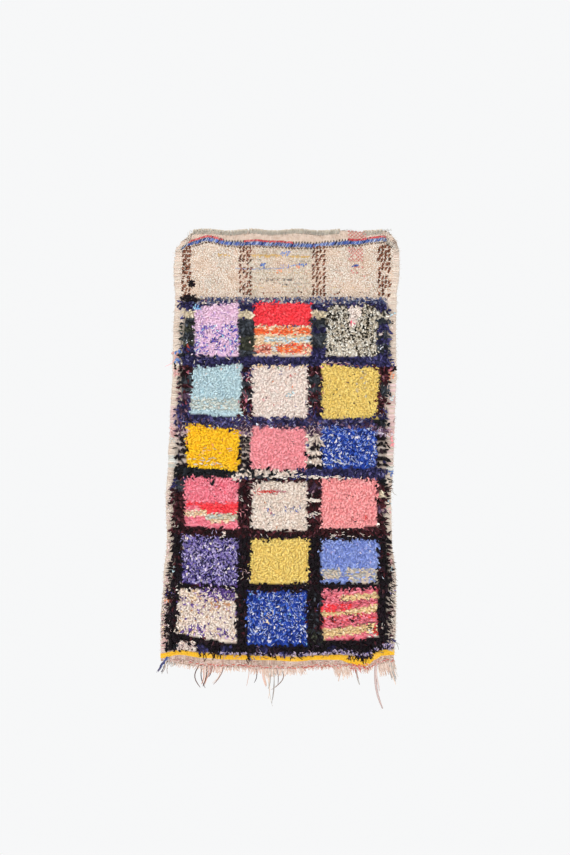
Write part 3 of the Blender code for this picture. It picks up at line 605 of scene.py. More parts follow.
def inside(patch, across, depth):
    climb = patch.rise * (across - patch.left) / (patch.right - patch.left)
    level = depth + climb
    return (across > patch.left) & (across < patch.right) & (level > patch.top) & (level < patch.foot)


def rag_colours(names, draw):
    """A colour for each rag from its palette, each a little lighter or darker than the next."""
    colours = np.zeros((len(names), 3))
    for name in np.unique(names):
        chosen = names == name
        rags = PALETTES[name]
        shares = np.array([share for _, share in rags], float)
        picks = draw.choice(len(rags), chosen.sum(), p=shares / shares.sum())
        colours[chosen] = np.array([srgb_to_linear(code) for code, _ in rags])[picks]
    return colours * draw.normal(1.0, 0.045, (len(names), 1)).clip(0.85, 1.15)


def shades(name, count, draw):
    """A colour for each of some rags of one palette."""
    return rag_colours(np.full(count, name), draw)


def hem_colours(names, colours, draw):
    """Some rags show their paler face along one edge."""
    hems = colours.copy()
    for palette, (hem, share) in HEMS.items():
        shown = (names == palette) & (draw.random(len(names)) < share)
        hems[shown] = shades(hem, shown.sum(), draw)
    return hems


def palette_names(base, areas, across, depth, draw):
    """The palette of each rag: the base, overlaid by each area in turn."""
    names = np.full(len(across), base, dtype="<U16")
    for area in areas:
        taken = inside(area, across, depth) & (draw.random(len(across)) < area.share)
        names[taken] = area.palette
    return names


def scatter(first, second, seed):
    """An even scatter of numbers from 0 to 1, one for each pair of whole numbers."""
    return np.sin(first * 12.9898 + second * 78.233 + seed) * 43758.5453 % 1


# Middles of the squares, which part the gaps beside them, and how each gap's blots are out of step.
GAP_PARTS = (-250, 0, 250)
GAP_STEP = 0.37


def blot_rows(across, depth, tall):
    """Which gap each place is in, and how many blots down it is."""
    gap = np.digitize(across, GAP_PARTS)
    return gap, (depth + 4 * np.sin(across / 7)) / tall + gap * GAP_STEP


def blotted(names, across, depth):
    """Swaps the colour of whole blots in the gaps between the squares."""
    for number, blot in enumerate(BLOTS):
        gap, row = blot_rows(across, depth, blot.size)
        low = 1 - blot.share if number % 2 == 0 else 0.0
        chance = scatter(gap, np.floor(row).astype(int), 3.0)
        taken = (chance >= low) & (chance < low + blot.share)
        taken &= (depth > blot.top) & (depth < blot.foot) & (names == blot.first)
        names[taken] = blot.second
    return names


# How much of each stripe is dark, and how many of the rags in the rest of it are pale.
DARK_SHARE, PALE_SHARE = 0.52, 0.92


def striped(names, across, depth, draw):
    """Dark rows with bare pale cloth between them."""
    for area in STRIPES:
        within = (across > area.left) & (across < area.right) & (depth > area.top) & (depth < area.foot)
        pale = (depth - area.top + 1.5 * np.sin(across / 9)) % area.pitch > area.pitch * DARK_SHARE
        names[within & ~pale] = area.dark
        names[within & pale & (draw.random(len(across)) < PALE_SHARE)] = area.pale
    return names


def ground_names(across, depth, draw):
    names = palette_names("navy", GROUND_PATCHES, across, depth, draw)
    return striped(blotted(names, across, depth), across, depth, draw)


def flecked(names, square, across, depth, draw):
    """Flecks in loose clumps."""
    for number, fleck in enumerate(FLECKS):
        if fleck.square == square.name:
            right, down = across / fleck.size, depth / fleck.size
            wave = np.sin(right * 2.3 + number + 1.3 * np.sin(down * 1.9))
            clump = wave * np.sin(down * 2.9 + 2.0 * number + np.sin(right * 1.7))
            taken = draw.random(len(across)) < fleck.share * np.clip(0.75 + 1.5 * clump, 0.1, 1.9)
            names[taken & (depth > fleck.top)] = fleck.palette
    return names


def unit(vectors):
    return vectors / np.maximum(np.linalg.norm(vectors, axis=-1, keepdims=True), 1e-12)


def tubes(paths, side, wide, thick, sides, colours, crumple=None):
    """Closed tubes along paths of shape (tubes, rings, 3), with half sizes wide and thick at each ring."""
    count, rings, _ = paths.shape
    along = unit(np.gradient(paths, axis=1))
    side = unit(side - (side * along).sum(-1, keepdims=True) * along)
    over = np.cross(along, side)
    turn = math.tau * np.arange(sides) / sides
    reach = np.ones((count, rings, sides)) if crumple is None else crumple
    level = side[:, :, None, :] * (np.cos(turn) * reach * wide[:, :, None])[..., None]
    upright = over[:, :, None, :] * (np.sin(turn) * reach * thick[:, :, None])[..., None]
    points = (paths[:, :, None, :] + (level + upright)).reshape(-1, 3)
    first = np.arange(count)[:, None] * rings * sides
    ring = first[:, :, None] + np.arange(rings - 1)[None, :, None] * sides
    near = np.arange(sides)[None, None, :]
    far = (near + 1) % sides
    quads = np.stack([ring + near, ring + far, ring + sides + far, ring + sides + near], -1)
    root = first + np.arange(sides)[::-1]
    tip = first + (rings - 1) * sides + np.arange(sides)
    tint = colours[:, None, None, :] if colours.ndim == 2 else colours
    tint = np.broadcast_to(tint, (count, rings, sides, 3)).reshape(-1, 3)
    return {"points": points, "faces": [quads.reshape(-1, 4), root, tip], "tint": tint}


def joined(bundles):
    """Several bundles of tubes or sheets as one."""
    faces, offset = [], 0
    for bundle in bundles:
        faces += [part + offset for part in bundle["faces"]]
        offset += len(bundle["points"])
    points, tint = (np.concatenate([bundle[key] for bundle in bundles]) for key in ("points", "tint"))
    return {"points": points, "faces": faces, "tint": tint}


def make_piece(name, bundle, material):
    """One joined mesh with a tint for each of its points. Millimetres become metres here."""
    mesh = bpy.data.meshes.new(name)
    mesh.vertices.add(len(bundle["points"]))
    mesh.vertices.foreach_set("co", (bundle["points"] * MM).astype(np.float32).ravel())
    corners = np.concatenate([part.ravel() for part in bundle["faces"]])
    sizes = np.concatenate([np.full(len(part), part.shape[1]) for part in bundle["faces"]])
    mesh.loops.add(len(corners))
    mesh.loops.foreach_set("vertex_index", corners.astype(np.int32))
    mesh.polygons.add(len(sizes))
    mesh.polygons.foreach_set("loop_start", (np.cumsum(sizes) - sizes).astype(np.int32))
    mesh.polygons.foreach_set("use_smooth", np.ones(len(sizes), bool))
    mesh.update(calc_edges=True)
    tint = mesh.attributes.new("tint", "FLOAT_COLOR", "POINT")
    colours = np.column_stack([bundle["tint"], np.ones(len(bundle["tint"]))])
    tint.data.foreach_set("color", colours.astype(np.float32).ravel())
    mesh.materials.append(material)
    piece = bpy.data.objects.new(name, mesh)
    bpy.context.scene.collection.objects.link(piece)
    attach(piece, "root")
    return piece


# How far knots are out of line, as a share of their pitch.
KNOT_JITTER = 0.22


def knot_grid(left, right, top, foot, pitch, draw):
    """Knots in rows over an area, each a little out of line. Left and right are functions of depth."""
    across, depth = [], []
    for row, level in enumerate(np.arange(top + pitch / 2, foot, pitch)):
        start, end = float(left(level)), float(right(level))
        places = np.arange(start + pitch * (0.25 + 0.5 * (row % 2)), end, pitch)
        across.append(places)
        depth.append(np.full(len(places), level))
    across, depth = np.concatenate(across), np.concatenate(depth)
    across = across + draw.normal(0, pitch * KNOT_JITTER, len(across))
    return across, depth + draw.normal(0, pitch * KNOT_JITTER, len(depth))


# How many of the rags fall any way at all, and the widest swirl of the others, in degrees.
LOOSE_SHARE = 0.16
SWIRL = 80


def lay_of(across, depth, style, draw):
    """Which way each rag falls, in radians from straight down: neighbours lie much the same way."""
    phase = draw.uniform(0, math.tau, 4)
    swirl = np.sin(across / 15 + phase[0] + 1.7 * np.sin(depth / 21 + phase[1]))
    swirl = swirl * np.cos(depth / 13 + phase[2] + 1.5 * np.sin(across / 25 + phase[3]))
    lay = np.radians(SWIRL * swirl + draw.normal(0, style.spread, len(across)))
    loose = draw.random(len(across)) < LOOSE_SHARE
    lay[loose] = draw.uniform(-math.pi, math.pi, loose.sum())
    return lay


# Half the width and the height of a fan of rags, and the middles of the gaps that the fans stand in,
# of which the outer two are measured from the edges of the cloth.
FAN_HALF, FAN_TALL = 22.0, 25.0
LEFT_GAP, SECOND_GAP, THIRD_GAP, RIGHT_GAP = 45, -142.0, 110.0, 44


def fanned(lay, across, depth, draw):
    """In the gaps beside the squares the rags of each blot spread out like a fan, to both sides."""
    gap, row = blot_rows(across, depth, FAN_TALL)
    outer = left_edge(depth) + LEFT_GAP, right_edge(depth) - RIGHT_GAP
    middle = np.choose(gap, [outer[0], SECOND_GAP, THIRD_GAP, outer[1]])
    reach = (across - middle) / FAN_HALF
    fall = 0.35 + 0.9 * (row % 1 - 0.5)
    spread = np.arctan2(reach, fall) + draw.normal(0, 0.32, len(across))
    beside = np.zeros(len(across), bool)
    for number in range(0, len(SQUARES), COLUMNS):
        group = SQUARES[number : number + COLUMNS]
        top, foot = max(square.top for square in group), min(square.foot for square in group)
        beside |= (depth > top) & (depth < foot - 6)
    return np.where(beside, spread, lay)


def seen_place(across, depth, lay, style):
    """Where the middle of each rag shows."""
    return across + np.sin(lay) * style.length * 0.36, depth + np.cos(lay) * style.length * 0.36


def rag_ends(
    across, depth, lay, style, colours, draw, curl=(14, 80), base=BASE_HIGH - 1.5, hems=None, broad=1.0
):
    """Cut rag strips that stand out from their knots and droop, each crumpled and twisted its own way.

    Curl is how far each leans from straight out at its root and at its tip, in degrees, hems is the colour
    of one long edge, where the cloth's other face turns up, and broad is the width beside the style's.
    """
    count = len(across)
    root = np.column_stack([across, np.full(count, -base), height(across, depth)])
    fall = np.column_stack([np.sin(lay), np.zeros(count), -np.cos(lay)])
    outward = np.array([0.0, -1.0, 0.0])
    steps = style.rings - 1
    share = np.linspace(0, 1, style.rings)
    start = np.radians(draw.uniform(curl[0] - 14, curl[0] + 16, count))
    end = np.radians(draw.normal(curl[1], 18, count))
    tilt = start[:, None] + (end - start)[:, None] * share[None, :-1] ** 0.8
    length = style.length * draw.uniform(0.78, 1.2, count) / steps
    sway = draw.normal(0, 0.22, (count, 1)) + draw.normal(0, 0.18, (count, steps))
    across_fall = np.cross(fall, outward)
    step = np.cos(tilt)[..., None] * outward + np.sin(tilt)[..., None] * fall[:, None, :]
    step = step + sway[..., None] * across_fall[:, None, :]
    run = np.cumsum(unit(step) * length[:, None, None], axis=1)
    paths = np.concatenate([root[:, None, :], root[:, None, :] + run], axis=1)
    twist = draw.uniform(-0.5, 0.5, (count, 1)) + draw.normal(0, 0.45, (count, 1)) * share
    lean = start[:, None] + (end - start)[:, None] * share
    over = -np.sin(lean)[..., None] * outward + np.cos(lean)[..., None] * fall[:, None, :]
    side = np.cos(twist)[..., None] * across_fall[:, None, :] + np.sin(twist)[..., None] * over
    profile = np.interp(share, (0, 0.3, 0.72, 1), (0.62, 1.0, 0.55 + 0.65 * style.tip, style.tip))
    wide = style.wide / 2 * np.reshape(broad, (-1, 1)) * draw.uniform(0.7, 1.3, (count, 1)) * profile
    wide = wide * draw.uniform(0.85, 1.15, (count, style.rings))
    thick = style.thick / 2 * draw.uniform(0.6, 1.25, (count, 1)) * profile
    crumple = draw.uniform(0.72, 1.18, (count, style.rings, style.sides))
    tint = np.repeat(colours[:, None, None, :], style.sides, axis=2)
    if hems is not None:
        tint[:, :, 0] = hems[:, None, :]
    # Painted shade: each rag is darker towards its root, where the knots and its neighbours shade it; it is
    # a little paler at its frayed tip.
    tint = tint * np.interp(share, (0, 0.4, 1), (0.9, 1.0, 1.03))[None, :, None, None]
    return tubes(paths, side, wide, thick, style.sides, tint, crumple)


def dashes(starts, ends, front, wide, thick, colours, sides=4, rings=3, bow=1.0):
    """Short closed tubes laid on the cloth from start to end, as (X, Z) in millimetres, bowed outwards."""
    count = len(starts)
    share = np.linspace(0, 1, rings)
    flat = starts[:, None, :] + (ends - starts)[:, None, :] * share[None, :, None]
    out = -(front + bow * np.sin(share * math.pi))
    paths = np.stack([flat[..., 0], np.tile(out, (count, 1)), flat[..., 1]], -1)
    along = unit(ends - starts)
    side = np.stack([-along[:, 1], np.zeros(count), along[:, 0]], -1)
    sizes = np.ones((count, 1)) * np.interp(share, (0, 0.25, 0.75, 1), (0.65, 1.0, 1.0, 0.65))
    wide, thick = (np.reshape(size, (-1, 1)) * sizes for size in (wide, thick))
    return tubes(paths, np.tile(side[:, None, :], (1, rings, 1)), wide, thick, sides, colours)


def marks(middle, reach, front, wide, thick, colours, *shape):
    """Dashes that reach as far one way from their middles as the other."""
    return dashes(middle - reach, middle + reach, front, wide, thick, colours, *shape)


def strands(paths, size, colours, sides=4):
    """Yarns of a round section along paths, thinner at their ends."""
    share = np.linspace(0, 1, paths.shape[1])
    sizes = np.reshape(size, (-1, 1)) * np.interp(share, (0, 0.8, 1), (1.0, 0.85, 0.45))[None]
    side = np.tile([1.0, 0.0, 0.0], (len(paths), len(share), 1))
    return tubes(paths, side, sizes, sizes, sides, colours)


def new_material(name):
    material = bpy.data.materials.new(name)
    material.use_nodes = True
    nodes, links = material.node_tree.nodes, material.node_tree.links
    return material, nodes, links, nodes["Principled BSDF"]


def add_node(nodes, kind, **values):
    node = nodes.new(kind)
    for key, value in values.items():
        if key in node.inputs:
            node.inputs[key].default_value = value
        else:
            setattr(node, key, value)
    return node


def add_range(nodes, low, high):
    """Spreads a value between 0 and 1 from low to high."""
    node = nodes.new("ShaderNodeMapRange")
    node.inputs["To Min"].default_value = low
    node.inputs["To Max"].default_value = high
    return node


CREASE_SCALE = 260.0
CLOTH_SHADER = {
    "Sheen Weight": 0.04,
    "Sheen Roughness": 0.5,
    "Specular IOR Level": 0.08,
    "Subsurface Weight": 0.35,
    "Subsurface Radius": (1.0, 0.85, 0.75),
    "Subsurface Scale": 0.004,
}


def cloth_material(name, grain=900.0, mottle=140.0, relief=0.0004, roughness=0.92, crease=0.0):
    """Tinted cotton or wool: mottled, fine-grained, and a little lighter at grazing angles."""
    material, nodes, links, shader = new_material(name)
    tint = add_node(nodes, "ShaderNodeAttribute", attribute_name="tint")
    place = nodes.new("ShaderNodeTexCoord")
    broad = add_node(nodes, "ShaderNodeTexNoise", Scale=mottle, Detail=3.0, Roughness=0.6)
    fine = add_node(nodes, "ShaderNodeTexNoise", Scale=grain, Detail=4.0, Roughness=0.7)
    folds = add_node(
        nodes, "ShaderNodeTexNoise", Scale=CREASE_SCALE, Detail=2.0, Roughness=0.5, Distortion=1.2
    )
    for texture in (broad, fine, folds):
        links.new(place.outputs["Object"], texture.inputs["Vector"])
    tone = add_range(nodes, 0.88, 1.12)
    links.new(broad.outputs["Fac"], tone.inputs["Value"])
    mixed = add_node(nodes, "ShaderNodeMix", data_type="RGBA", blend_type="MULTIPLY")
    mixed.inputs[0].default_value = 1.0
    links.new(tint.outputs["Color"], mixed.inputs[6])
    links.new(tone.outputs["Result"], mixed.inputs[7])
    links.new(mixed.outputs[2], shader.inputs["Base Color"])
    rough = add_range(nodes, roughness - 0.08, roughness + 0.08)
    links.new(fine.outputs["Fac"], rough.inputs["Value"])
    links.new(rough.outputs["Result"], shader.inputs["Roughness"])
    bump = add_node(nodes, "ShaderNodeBump", Strength=0.6, Distance=relief)
    links.new(fine.outputs["Fac"], bump.inputs["Height"])
    creased = add_node(nodes, "ShaderNodeBump", Strength=0.9, Distance=crease)
    links.new(folds.outputs["Fac"], creased.inputs["Height"])
    links.new(bump.outputs["Normal"], creased.inputs["Normal"])
    links.new(creased.outputs["Normal"], shader.inputs["Normal"])
    for key, value in CLOTH_SHADER.items():
        shader.inputs[key].default_value = value
    return material


def weave_material(name):
    """Plain weave: warps and wefts cross under and over at the real count."""
    material = cloth_material(name, grain=1400.0, mottle=60.0, relief=0.0003)
    nodes, links = material.node_tree.nodes, material.node_tree.links
    shader = nodes["Principled BSDF"]
    place = nodes.new("ShaderNodeTexCoord")
    warp = add_node(nodes, "ShaderNodeTexWave", Scale=48.0, bands_direction="X", Distortion=0.6)
    weft = add_node(nodes, "ShaderNodeTexWave", Scale=78.0, bands_direction="Z", Distortion=0.8)
    crossing = add_node(nodes, "ShaderNodeMath", operation="MULTIPLY")
    for number, texture in enumerate((warp, weft)):
        texture.inputs["Detail Scale"].default_value = 3.0
        links.new(place.outputs["Object"], texture.inputs["Vector"])
        links.new(texture.outputs["Fac"], crossing.inputs[number])
    bump = add_node(nodes, "ShaderNodeBump", Strength=0.9, Distance=0.0012)
    links.new(crossing.outputs[0], bump.inputs["Height"])
    links.new(shader.inputs["Normal"].links[0].from_socket, bump.inputs["Normal"])
    links.new(bump.outputs["Normal"], shader.inputs["Normal"])
    return material


def selvedge_wide(levels, bare):
    """How far the bare selvedge reaches in from the edge; its inner side is lobed."""
    lobes = 3.2 * np.abs(np.sin(np.asarray(levels) / 6.1)) + 2.0 * np.sin(np.asarray(levels) / 23.0)
    return between(bare, levels) + lobes


def field_left(level):
    return left_edge(level) + selvedge_wide(level, LEFT_BARE) + RAG_REACH


def field_right(level):
    return right_edge(level) - selvedge_wide(level, RIGHT_BARE) - RAG_REACH


def square_inside(square, across, depth, margin):
    share_down = np.clip((depth - square.top) / (square.foot - square.top), 0, 1)
    share_along = np.clip((across - square.left) / (square.right - square.left), 0, 1)
    left = square.left + square.left_lean * share_down + margin
    right = square.right + square.right_lean * share_down - margin
    top = square.top + square.top_drop * share_along + margin
    foot = square.foot + square.foot_drop * share_along - margin
    return (across > left) & (across < right) & (depth > top) & (depth < foot)


def outside_squares(across, depth, margin):
    clear = np.ones(len(across), bool)
    for square in SQUARES:
        clear &= ~square_inside(square, across, depth, margin)
    return clear


def zone_names(across, depth, draw):
    """The palette under every place of the whole cloth."""
    names = palette_names("selvedge", SELVEDGE_PATCHES, across, depth, draw)
    names[depth < PLAIN_FOOT] = "plain"
    names[depth > PILE_FOOT] = "foot_band"
    heading = (depth > HEADING_TOP) & (depth < PILE_TOP)
    heading &= (across > left_edge(depth) + HEADING_LEFT) & (across < right_edge(depth) - HEADING_RIGHT)
    names[heading] = "heading_gap"
    field = (depth > PILE_TOP) & (depth < PILE_FOOT)
    field &= (across > field_left(depth)) & (across < field_right(depth))
    names[field] = ground_names(across, depth, draw)[field]
    for square in SQUARES:
        within = square_inside(square, across, depth, 0.0)
        names[within] = palette_names(square.palette, SQUARE_PATCHES, across, depth, draw)[within]
    return names


def closed_sheet(across, rise, front, back, tint):
    """A closed sheet between a grid of front points and the same grid of back points."""
    points = [np.stack([across, -out, rise], -1).reshape(-1, 3) for out in (front, back)]
    index = np.arange(across.size).reshape(across.shape)
    upper_left, upper_right = index[:-1, :-1], index[:-1, 1:]
    lower_left, lower_right = index[1:, :-1], index[1:, 1:]
    facing = np.stack([upper_left, lower_left, lower_right, upper_right], -1).reshape(-1, 4)
    away = np.stack([upper_left, upper_right, lower_right, lower_left], -1).reshape(-1, 4) + index.size
    loop = np.concatenate([index[0, :-1], index[:-1, -1], index[-1, :0:-1], index[:0:-1, 0]])
    after = np.roll(loop, -1)
    rim = np.stack([loop, after, after + index.size, loop + index.size], -1)
    return {"points": np.concatenate(points), "faces": [facing, away, rim], "tint": np.concatenate(tint)}


# Points across and down the woven ground, and the palettes of the cloth where no pile covers it.
GRID_ACROSS, GRID_DOWN = 106, 202
BARE_PALETTES = ("plain", "heading_gap", "selvedge", "selvedge_pink", "selvedge_grey", "foot_band")


def ground_sheet(draw):
    """The woven ground as a thin closed sheet with a slightly uneven rim."""
    levels = np.linspace(CLOTH_TOP, CLOTH_FOOT, GRID_DOWN)
    share = np.linspace(0, 1, GRID_ACROSS)
    depth, across = np.meshgrid(levels, share, indexing="ij")
    fray = draw.normal(0, 0.8, (GRID_DOWN, 2))
    left = left_edge(levels) + fray[:, 0] + 1.0
    right = right_edge(levels) + fray[:, 1] - 1.0
    across = left[:, None] + (right - left)[:, None] * across
    ripple = 0.35 * np.sin(across / 23 + depth / 61) + 0.3 * np.sin(depth / 17 - across / 47)
    knots = 0.35 * np.cos(np.arange(GRID_DOWN) * math.pi)[:, None] * (depth > PILE_TOP)
    names = zone_names(across.ravel(), depth.ravel(), draw)
    front_tint = rag_colours(names, draw)
    pile = np.isin(names, BARE_PALETTES, invert=True)
    # Painted shade: the ground is darker where the pile covers it and shades it.
    front_tint[pile] *= 0.8
    pale = srgb_to_linear("#c9b49c")
    back_tint = np.where(pile[:, None], rag_colours(names, draw) * 0.62 + pale * 0.25, pale)
    rise = height(across, depth)
    return closed_sheet(across, rise, GROUND_FRONT + ripple, GROUND_BACK + knots, [front_tint, back_tint])


# Cells of the pile's base, and where it ends.
BASE_CELL, BASE_COLUMNS, BASE_FOOT = 9.0, 88, 1550


def build_pile_base(material):
    """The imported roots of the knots, as one low lumpy mass under the cut ends."""
    draw = np.random.default_rng(SEED + 40)
    levels = np.arange(PILE_TOP, BASE_FOOT, BASE_CELL)
    share = np.linspace(0, 1, BASE_COLUMNS)
    left, right = field_left(levels), field_right(levels)
    depth = np.tile(levels[:, None], (1, len(share)))
    across = left[:, None] + (right - left)[:, None] * share[None]
    limit = -stripe_top(across) + 4.0
    rise = np.maximum(height(across, depth), limit)
    high = BASE_HIGH * draw.uniform(0.8, 1.1, across.shape)
    high[:, [0, -1]] = GROUND_FRONT
    high[[0, -1], :] = GROUND_FRONT
    high = np.where(rise <= limit, GROUND_FRONT, high)
    back = np.full(across.shape, GROUND_BACK + 0.6)
    names = zone_names(across.ravel(), depth.ravel(), draw)
    # Painted shade: the base is darker than its rags, as it lies deep in their shade.
    tint = rag_colours(names, draw) * 0.85
    return make_piece("pile_base", closed_sheet(across, rise, high, back, [tint, tint]), material)


# How wide the rim is where rags turn in, in a square and in its bands, and how far its edges wave.
RIM, BAND_RIM, EDGE_WAVE = 9.0, 17.0, 3.6


def turned_in(lay, along, down, wide, draw):
    """Rags at the rim of a square mostly fall into it."""
    side = np.where(along < RIM, -1, np.where(along > wide - RIM, 1, 0))
    outward = (np.sin(lay) * side > 0.15) & (draw.random(len(lay)) < 0.4)
    lay = np.where(outward, -lay, lay)
    upward = (down < RIM) & (np.cos(lay) < 0) & (draw.random(len(lay)) < 0.5)
    return np.where(upward, math.pi - lay, lay)


def sideways(lay, square, along, depth, wide, draw):
    """In the bands of a square the rags lie level, and point inwards at its rim."""
    for band in BANDS:
        if band.square == square.name:
            turn = np.where(along < BAND_RIM, 1, np.where(along > wide - BAND_RIM, -1, np.sign(lay)))
            level = turn * math.pi / 2 + draw.normal(0, 0.18, len(lay))
            lay = np.where((depth > band.top) & (depth < band.foot), level, lay)
    return lay


def build_square(number, square, material):
    """One coloured square as its own field of knots."""
    draw = np.random.default_rng(SEED + number)
    wide, tall = square.right - square.left, square.foot - square.top
    along, down = knot_grid(lambda level: 0.0, lambda level: wide, -3.0, tall - 7.5, FINE.pitch, draw)
    share_along, share_down = along / wide, down / tall
    lean = square.left_lean * (1 - share_along) + square.right_lean * share_along
    drop = square.top_drop * (1 - share_down) + square.foot_drop * share_down
    across = square.left + along + share_down * lean
    across = across + EDGE_WAVE * (0.6 * np.sin(down / 15 + number) + np.sin(down / 5.6 + 2 * number))
    depth = square.top + down + share_along * drop
    depth = depth + EDGE_WAVE * (0.5 * np.sin(along / 17 + number) + 0.7 * np.sin(along / 5.9 + 3 * number))
    lay = sideways(lay_of(across, depth, FINE, draw), square, along, depth, wide, draw)
    lay = turned_in(lay, along, down, wide, draw)
    seen = seen_place(across, depth, lay, FINE)
    names = palette_names(square.palette, SQUARE_PATCHES, *seen, draw)
    names = flecked(names, square, *seen, draw)
    colours = rag_colours(names, draw)
    broad = np.where(np.isin(names, SLIM), SLIM_SHARE, 1.0)
    hems = hem_colours(names, colours, draw)
    bundle = rag_ends(across, depth, lay, FINE, colours, draw, hems=hems, broad=broad)
    return make_piece(square.name, bundle, material)


# The dark ground's pieces, how far its tips keep off the squares' rims, and its roots off the stripe.
GROUND_PARTS = (
    ("ground_pile_top", PILE_TOP - 4, 276.0, MIDDLING),
    ("ground_pile_upper", 276.0, 880.0, LEAFY),
    ("ground_pile_lower", 880.0, 1560.0, LEAFY),
)
TIP_REACH = 10.5
STRIPE_CLEAR = 7.0
# The first rows of pile hang down, so that the pile starts in an even line.
FIRST_ROWS = 9.0


def build_ground_part(name, top, foot, style, material):
    """A length of the dark bands and gaps between the squares."""
    draw = np.random.default_rng(SEED + int(top))
    across, depth = knot_grid(field_left, field_right, top, foot, style.pitch, draw)
    lay = fanned(lay_of(across, depth, style, draw), across, depth, draw)
    lay = np.where(depth < PILE_TOP + FIRST_ROWS, lay * 0.35, lay)
    tip_across = across + np.sin(lay) * style.length * 0.8
    tip_depth = depth + np.cos(lay) * style.length * 0.8
    keep = outside_squares(across, depth, 3.0) & outside_squares(tip_across, tip_depth, TIP_REACH)
    keep &= -height(across, depth) < stripe_top(across) - STRIPE_CLEAR
    across, depth, lay = across[keep], depth[keep], lay[keep]
    names = ground_names(*seen_place(across, depth, lay, style), draw)
    knotted = names != "bare_ground"
    across, depth, lay, names = across[knotted], depth[knotted], lay[knotted], names[knotted]
    colours = rag_colours(names, draw)
    hems = hem_colours(names, colours, draw)
    return make_piece(name, rag_ends(across, depth, lay, style, colours, draw, hems=hems), material)


# The square millimetres that one end takes among the tufts, and one loop above the stripe.
TUFT_AREA, BIT_AREA = 30, 34


def build_selvedge_tufts(material):
    """Coloured ends that lie on the selvedges."""
    draw = np.random.default_rng(SEED + 60)
    bundles = []
    for patch in SELVEDGE_TUFTS:
        area = (patch.right - patch.left) * (patch.foot - patch.top)
        count = max(2, int(area * patch.share / TUFT_AREA))
        depth = draw.uniform(patch.top - 4, patch.foot - 4, count)
        across = draw.uniform(patch.left, patch.right, count)
        across = np.clip(across, left_edge(depth) + 7, right_edge(depth) - 7)
        lay = draw.normal(0, 0.8, count)
        shade = shades(patch.palette, count, draw)
        bundles.append(rag_ends(across, depth, lay, SPIKES, shade, draw, (50, 88), 3.0))
    return make_piece("selvedge_tufts", joined(bundles), material)


def build_wisps(material):
    """The laid lines, and the threads and narrow rags among the others."""
    draw = np.random.default_rng(SEED + 65)
    bundles = []
    for line in LAID_LINES:
        share = draw.uniform(0, 1, line.count)
        lay = draw.choice((-1.0, 1.0), line.count) * math.pi / 2 + draw.normal(0, 0.12, line.count)
        across = line.left + (line.right - line.left) * share - np.sin(lay) * WISPS.length * 0.5
        depth = line.depth - line.rise * share + draw.normal(0, 1.2, line.count)
        shade = shades(line.palette, line.count, draw)
        bundle = rag_ends(across, depth, lay, WISPS, shade, draw, (12, 90), LAID_BASE, broad=line.broad)
        bundles.append(bundle)
    for area in WISP_AREAS:
        lay = draw.normal(0, 1.1, area.count)
        across = draw.uniform(area.left, area.right, area.count) - np.sin(lay) * WISPS.length * 0.5
        depth = draw.uniform(area.top, area.foot, area.count) - np.cos(lay) * WISPS.length * 0.5
        shade = shades(area.palette, area.count, draw)
        bundles.append(rag_ends(across, depth, lay, WISPS, shade, draw, (12, 96), broad=area.broad))
    return make_piece("wisps", joined(bundles), material)


# Where the dark rags across the selvedges start on each side and end, how many places have one, from
# where they reach further out on the right, and by how much, and how the combs slant, in degrees.
LEFT_RAGS_TOP, RIGHT_RAGS_TOP, RAGS_FOOT, RAGS_SHARE = 930.0, 900.0, 1500.0, 0.8
FAR_RAGS_TOP, FAR_RAGS_REACH = 1285, 6.0
COMB_SLANT = 66


def build_side_rags(material):
    """Narrow rags that lie across the lower selvedges, now and then to the very edge."""
    draw = np.random.default_rng(SEED + 50)
    bundles = []
    for side, edge, top in ((-1, field_left, LEFT_RAGS_TOP), (1, field_right, RIGHT_RAGS_TOP)):
        levels = np.arange(top, RAGS_FOOT, SIDEWAYS.pitch)
        levels = levels + draw.normal(0, 3.5, len(levels))
        levels = levels[draw.random(len(levels)) < RAGS_SHARE]
        across = edge(levels) - side * draw.uniform(-4, 5, len(levels))
        across = across + np.where((levels > FAR_RAGS_TOP) & (side > 0), FAR_RAGS_REACH, 0.0)
        lay = side * np.radians(90) + draw.normal(0, 0.3, len(levels))
        names = np.where(draw.random(len(levels)) < 0.5, "maroon", "black")
        shade = rag_colours(names, draw)
        bundles.append(rag_ends(across, levels, lay, SIDEWAYS, shade, draw, (50, 96), 4.0))
    for comb in COMBS:
        levels = np.arange(comb.top, comb.foot, comb.pitch)
        levels = levels + draw.normal(0, 1.2, len(levels))
        edge = right_edge(levels) if comb.side > 0 else left_edge(levels)
        across = edge - comb.side * (draw.uniform(-2, 4, len(levels)) + comb.back)
        lay = comb.side * np.radians(COMB_SLANT) + draw.normal(0, 0.2, len(levels))
        shade = rag_colours(draw.choice(np.array(comb.palettes), len(levels)), draw)
        bundles.append(rag_ends(across, levels, lay, SPIKES, shade, draw, (60, 92), 4.0, broad=comb.broad))
    return make_piece("side_rags", joined(bundles), material)


# How the weft slants more and more down the right selvedge.
SELVEDGE_SLANT = ((0, 0), (1180, 0), (1300, 9), (1480, 9))
SELVEDGE_THICK = ((0, 0.9), (240, 0.9), (300, 1.4))
SELVEDGE_WEFT, SELVEDGE_IN = 6.2, 27


def build_selvedges(material):
    """Weft that turns round the outermost warps, row after row."""
    draw = np.random.default_rng(SEED + 70)
    bundles = []
    for side, edge in ((-1, left_edge), (1, right_edge)):
        levels = np.arange(PLAIN_FOOT, CLOTH_FOOT - 30, SELVEDGE_WEFT)
        levels = levels + draw.normal(0, 0.8, len(levels))
        outer = edge(levels) + side * draw.normal(0.6, 0.8, len(levels))
        slant = between(SELVEDGE_SLANT, levels) * (side > 0)
        starts = on_cloth(outer - side * SELVEDGE_IN, levels - slant)
        ends = on_cloth(outer, levels + slant * 0.4)
        names = palette_names("selvedge", SELVEDGE_PATCHES, outer, levels, draw)
        wide = draw.uniform(2.9, 3.6, len(levels))
        thick = between(SELVEDGE_THICK, levels)
        shade = rag_colours(names, draw)
        bundles.append(dashes(starts, ends, GROUND_FRONT - 0.2, wide, thick, shade, 5, 5, 0.8))
    return make_piece("selvedges", joined(bundles), material)


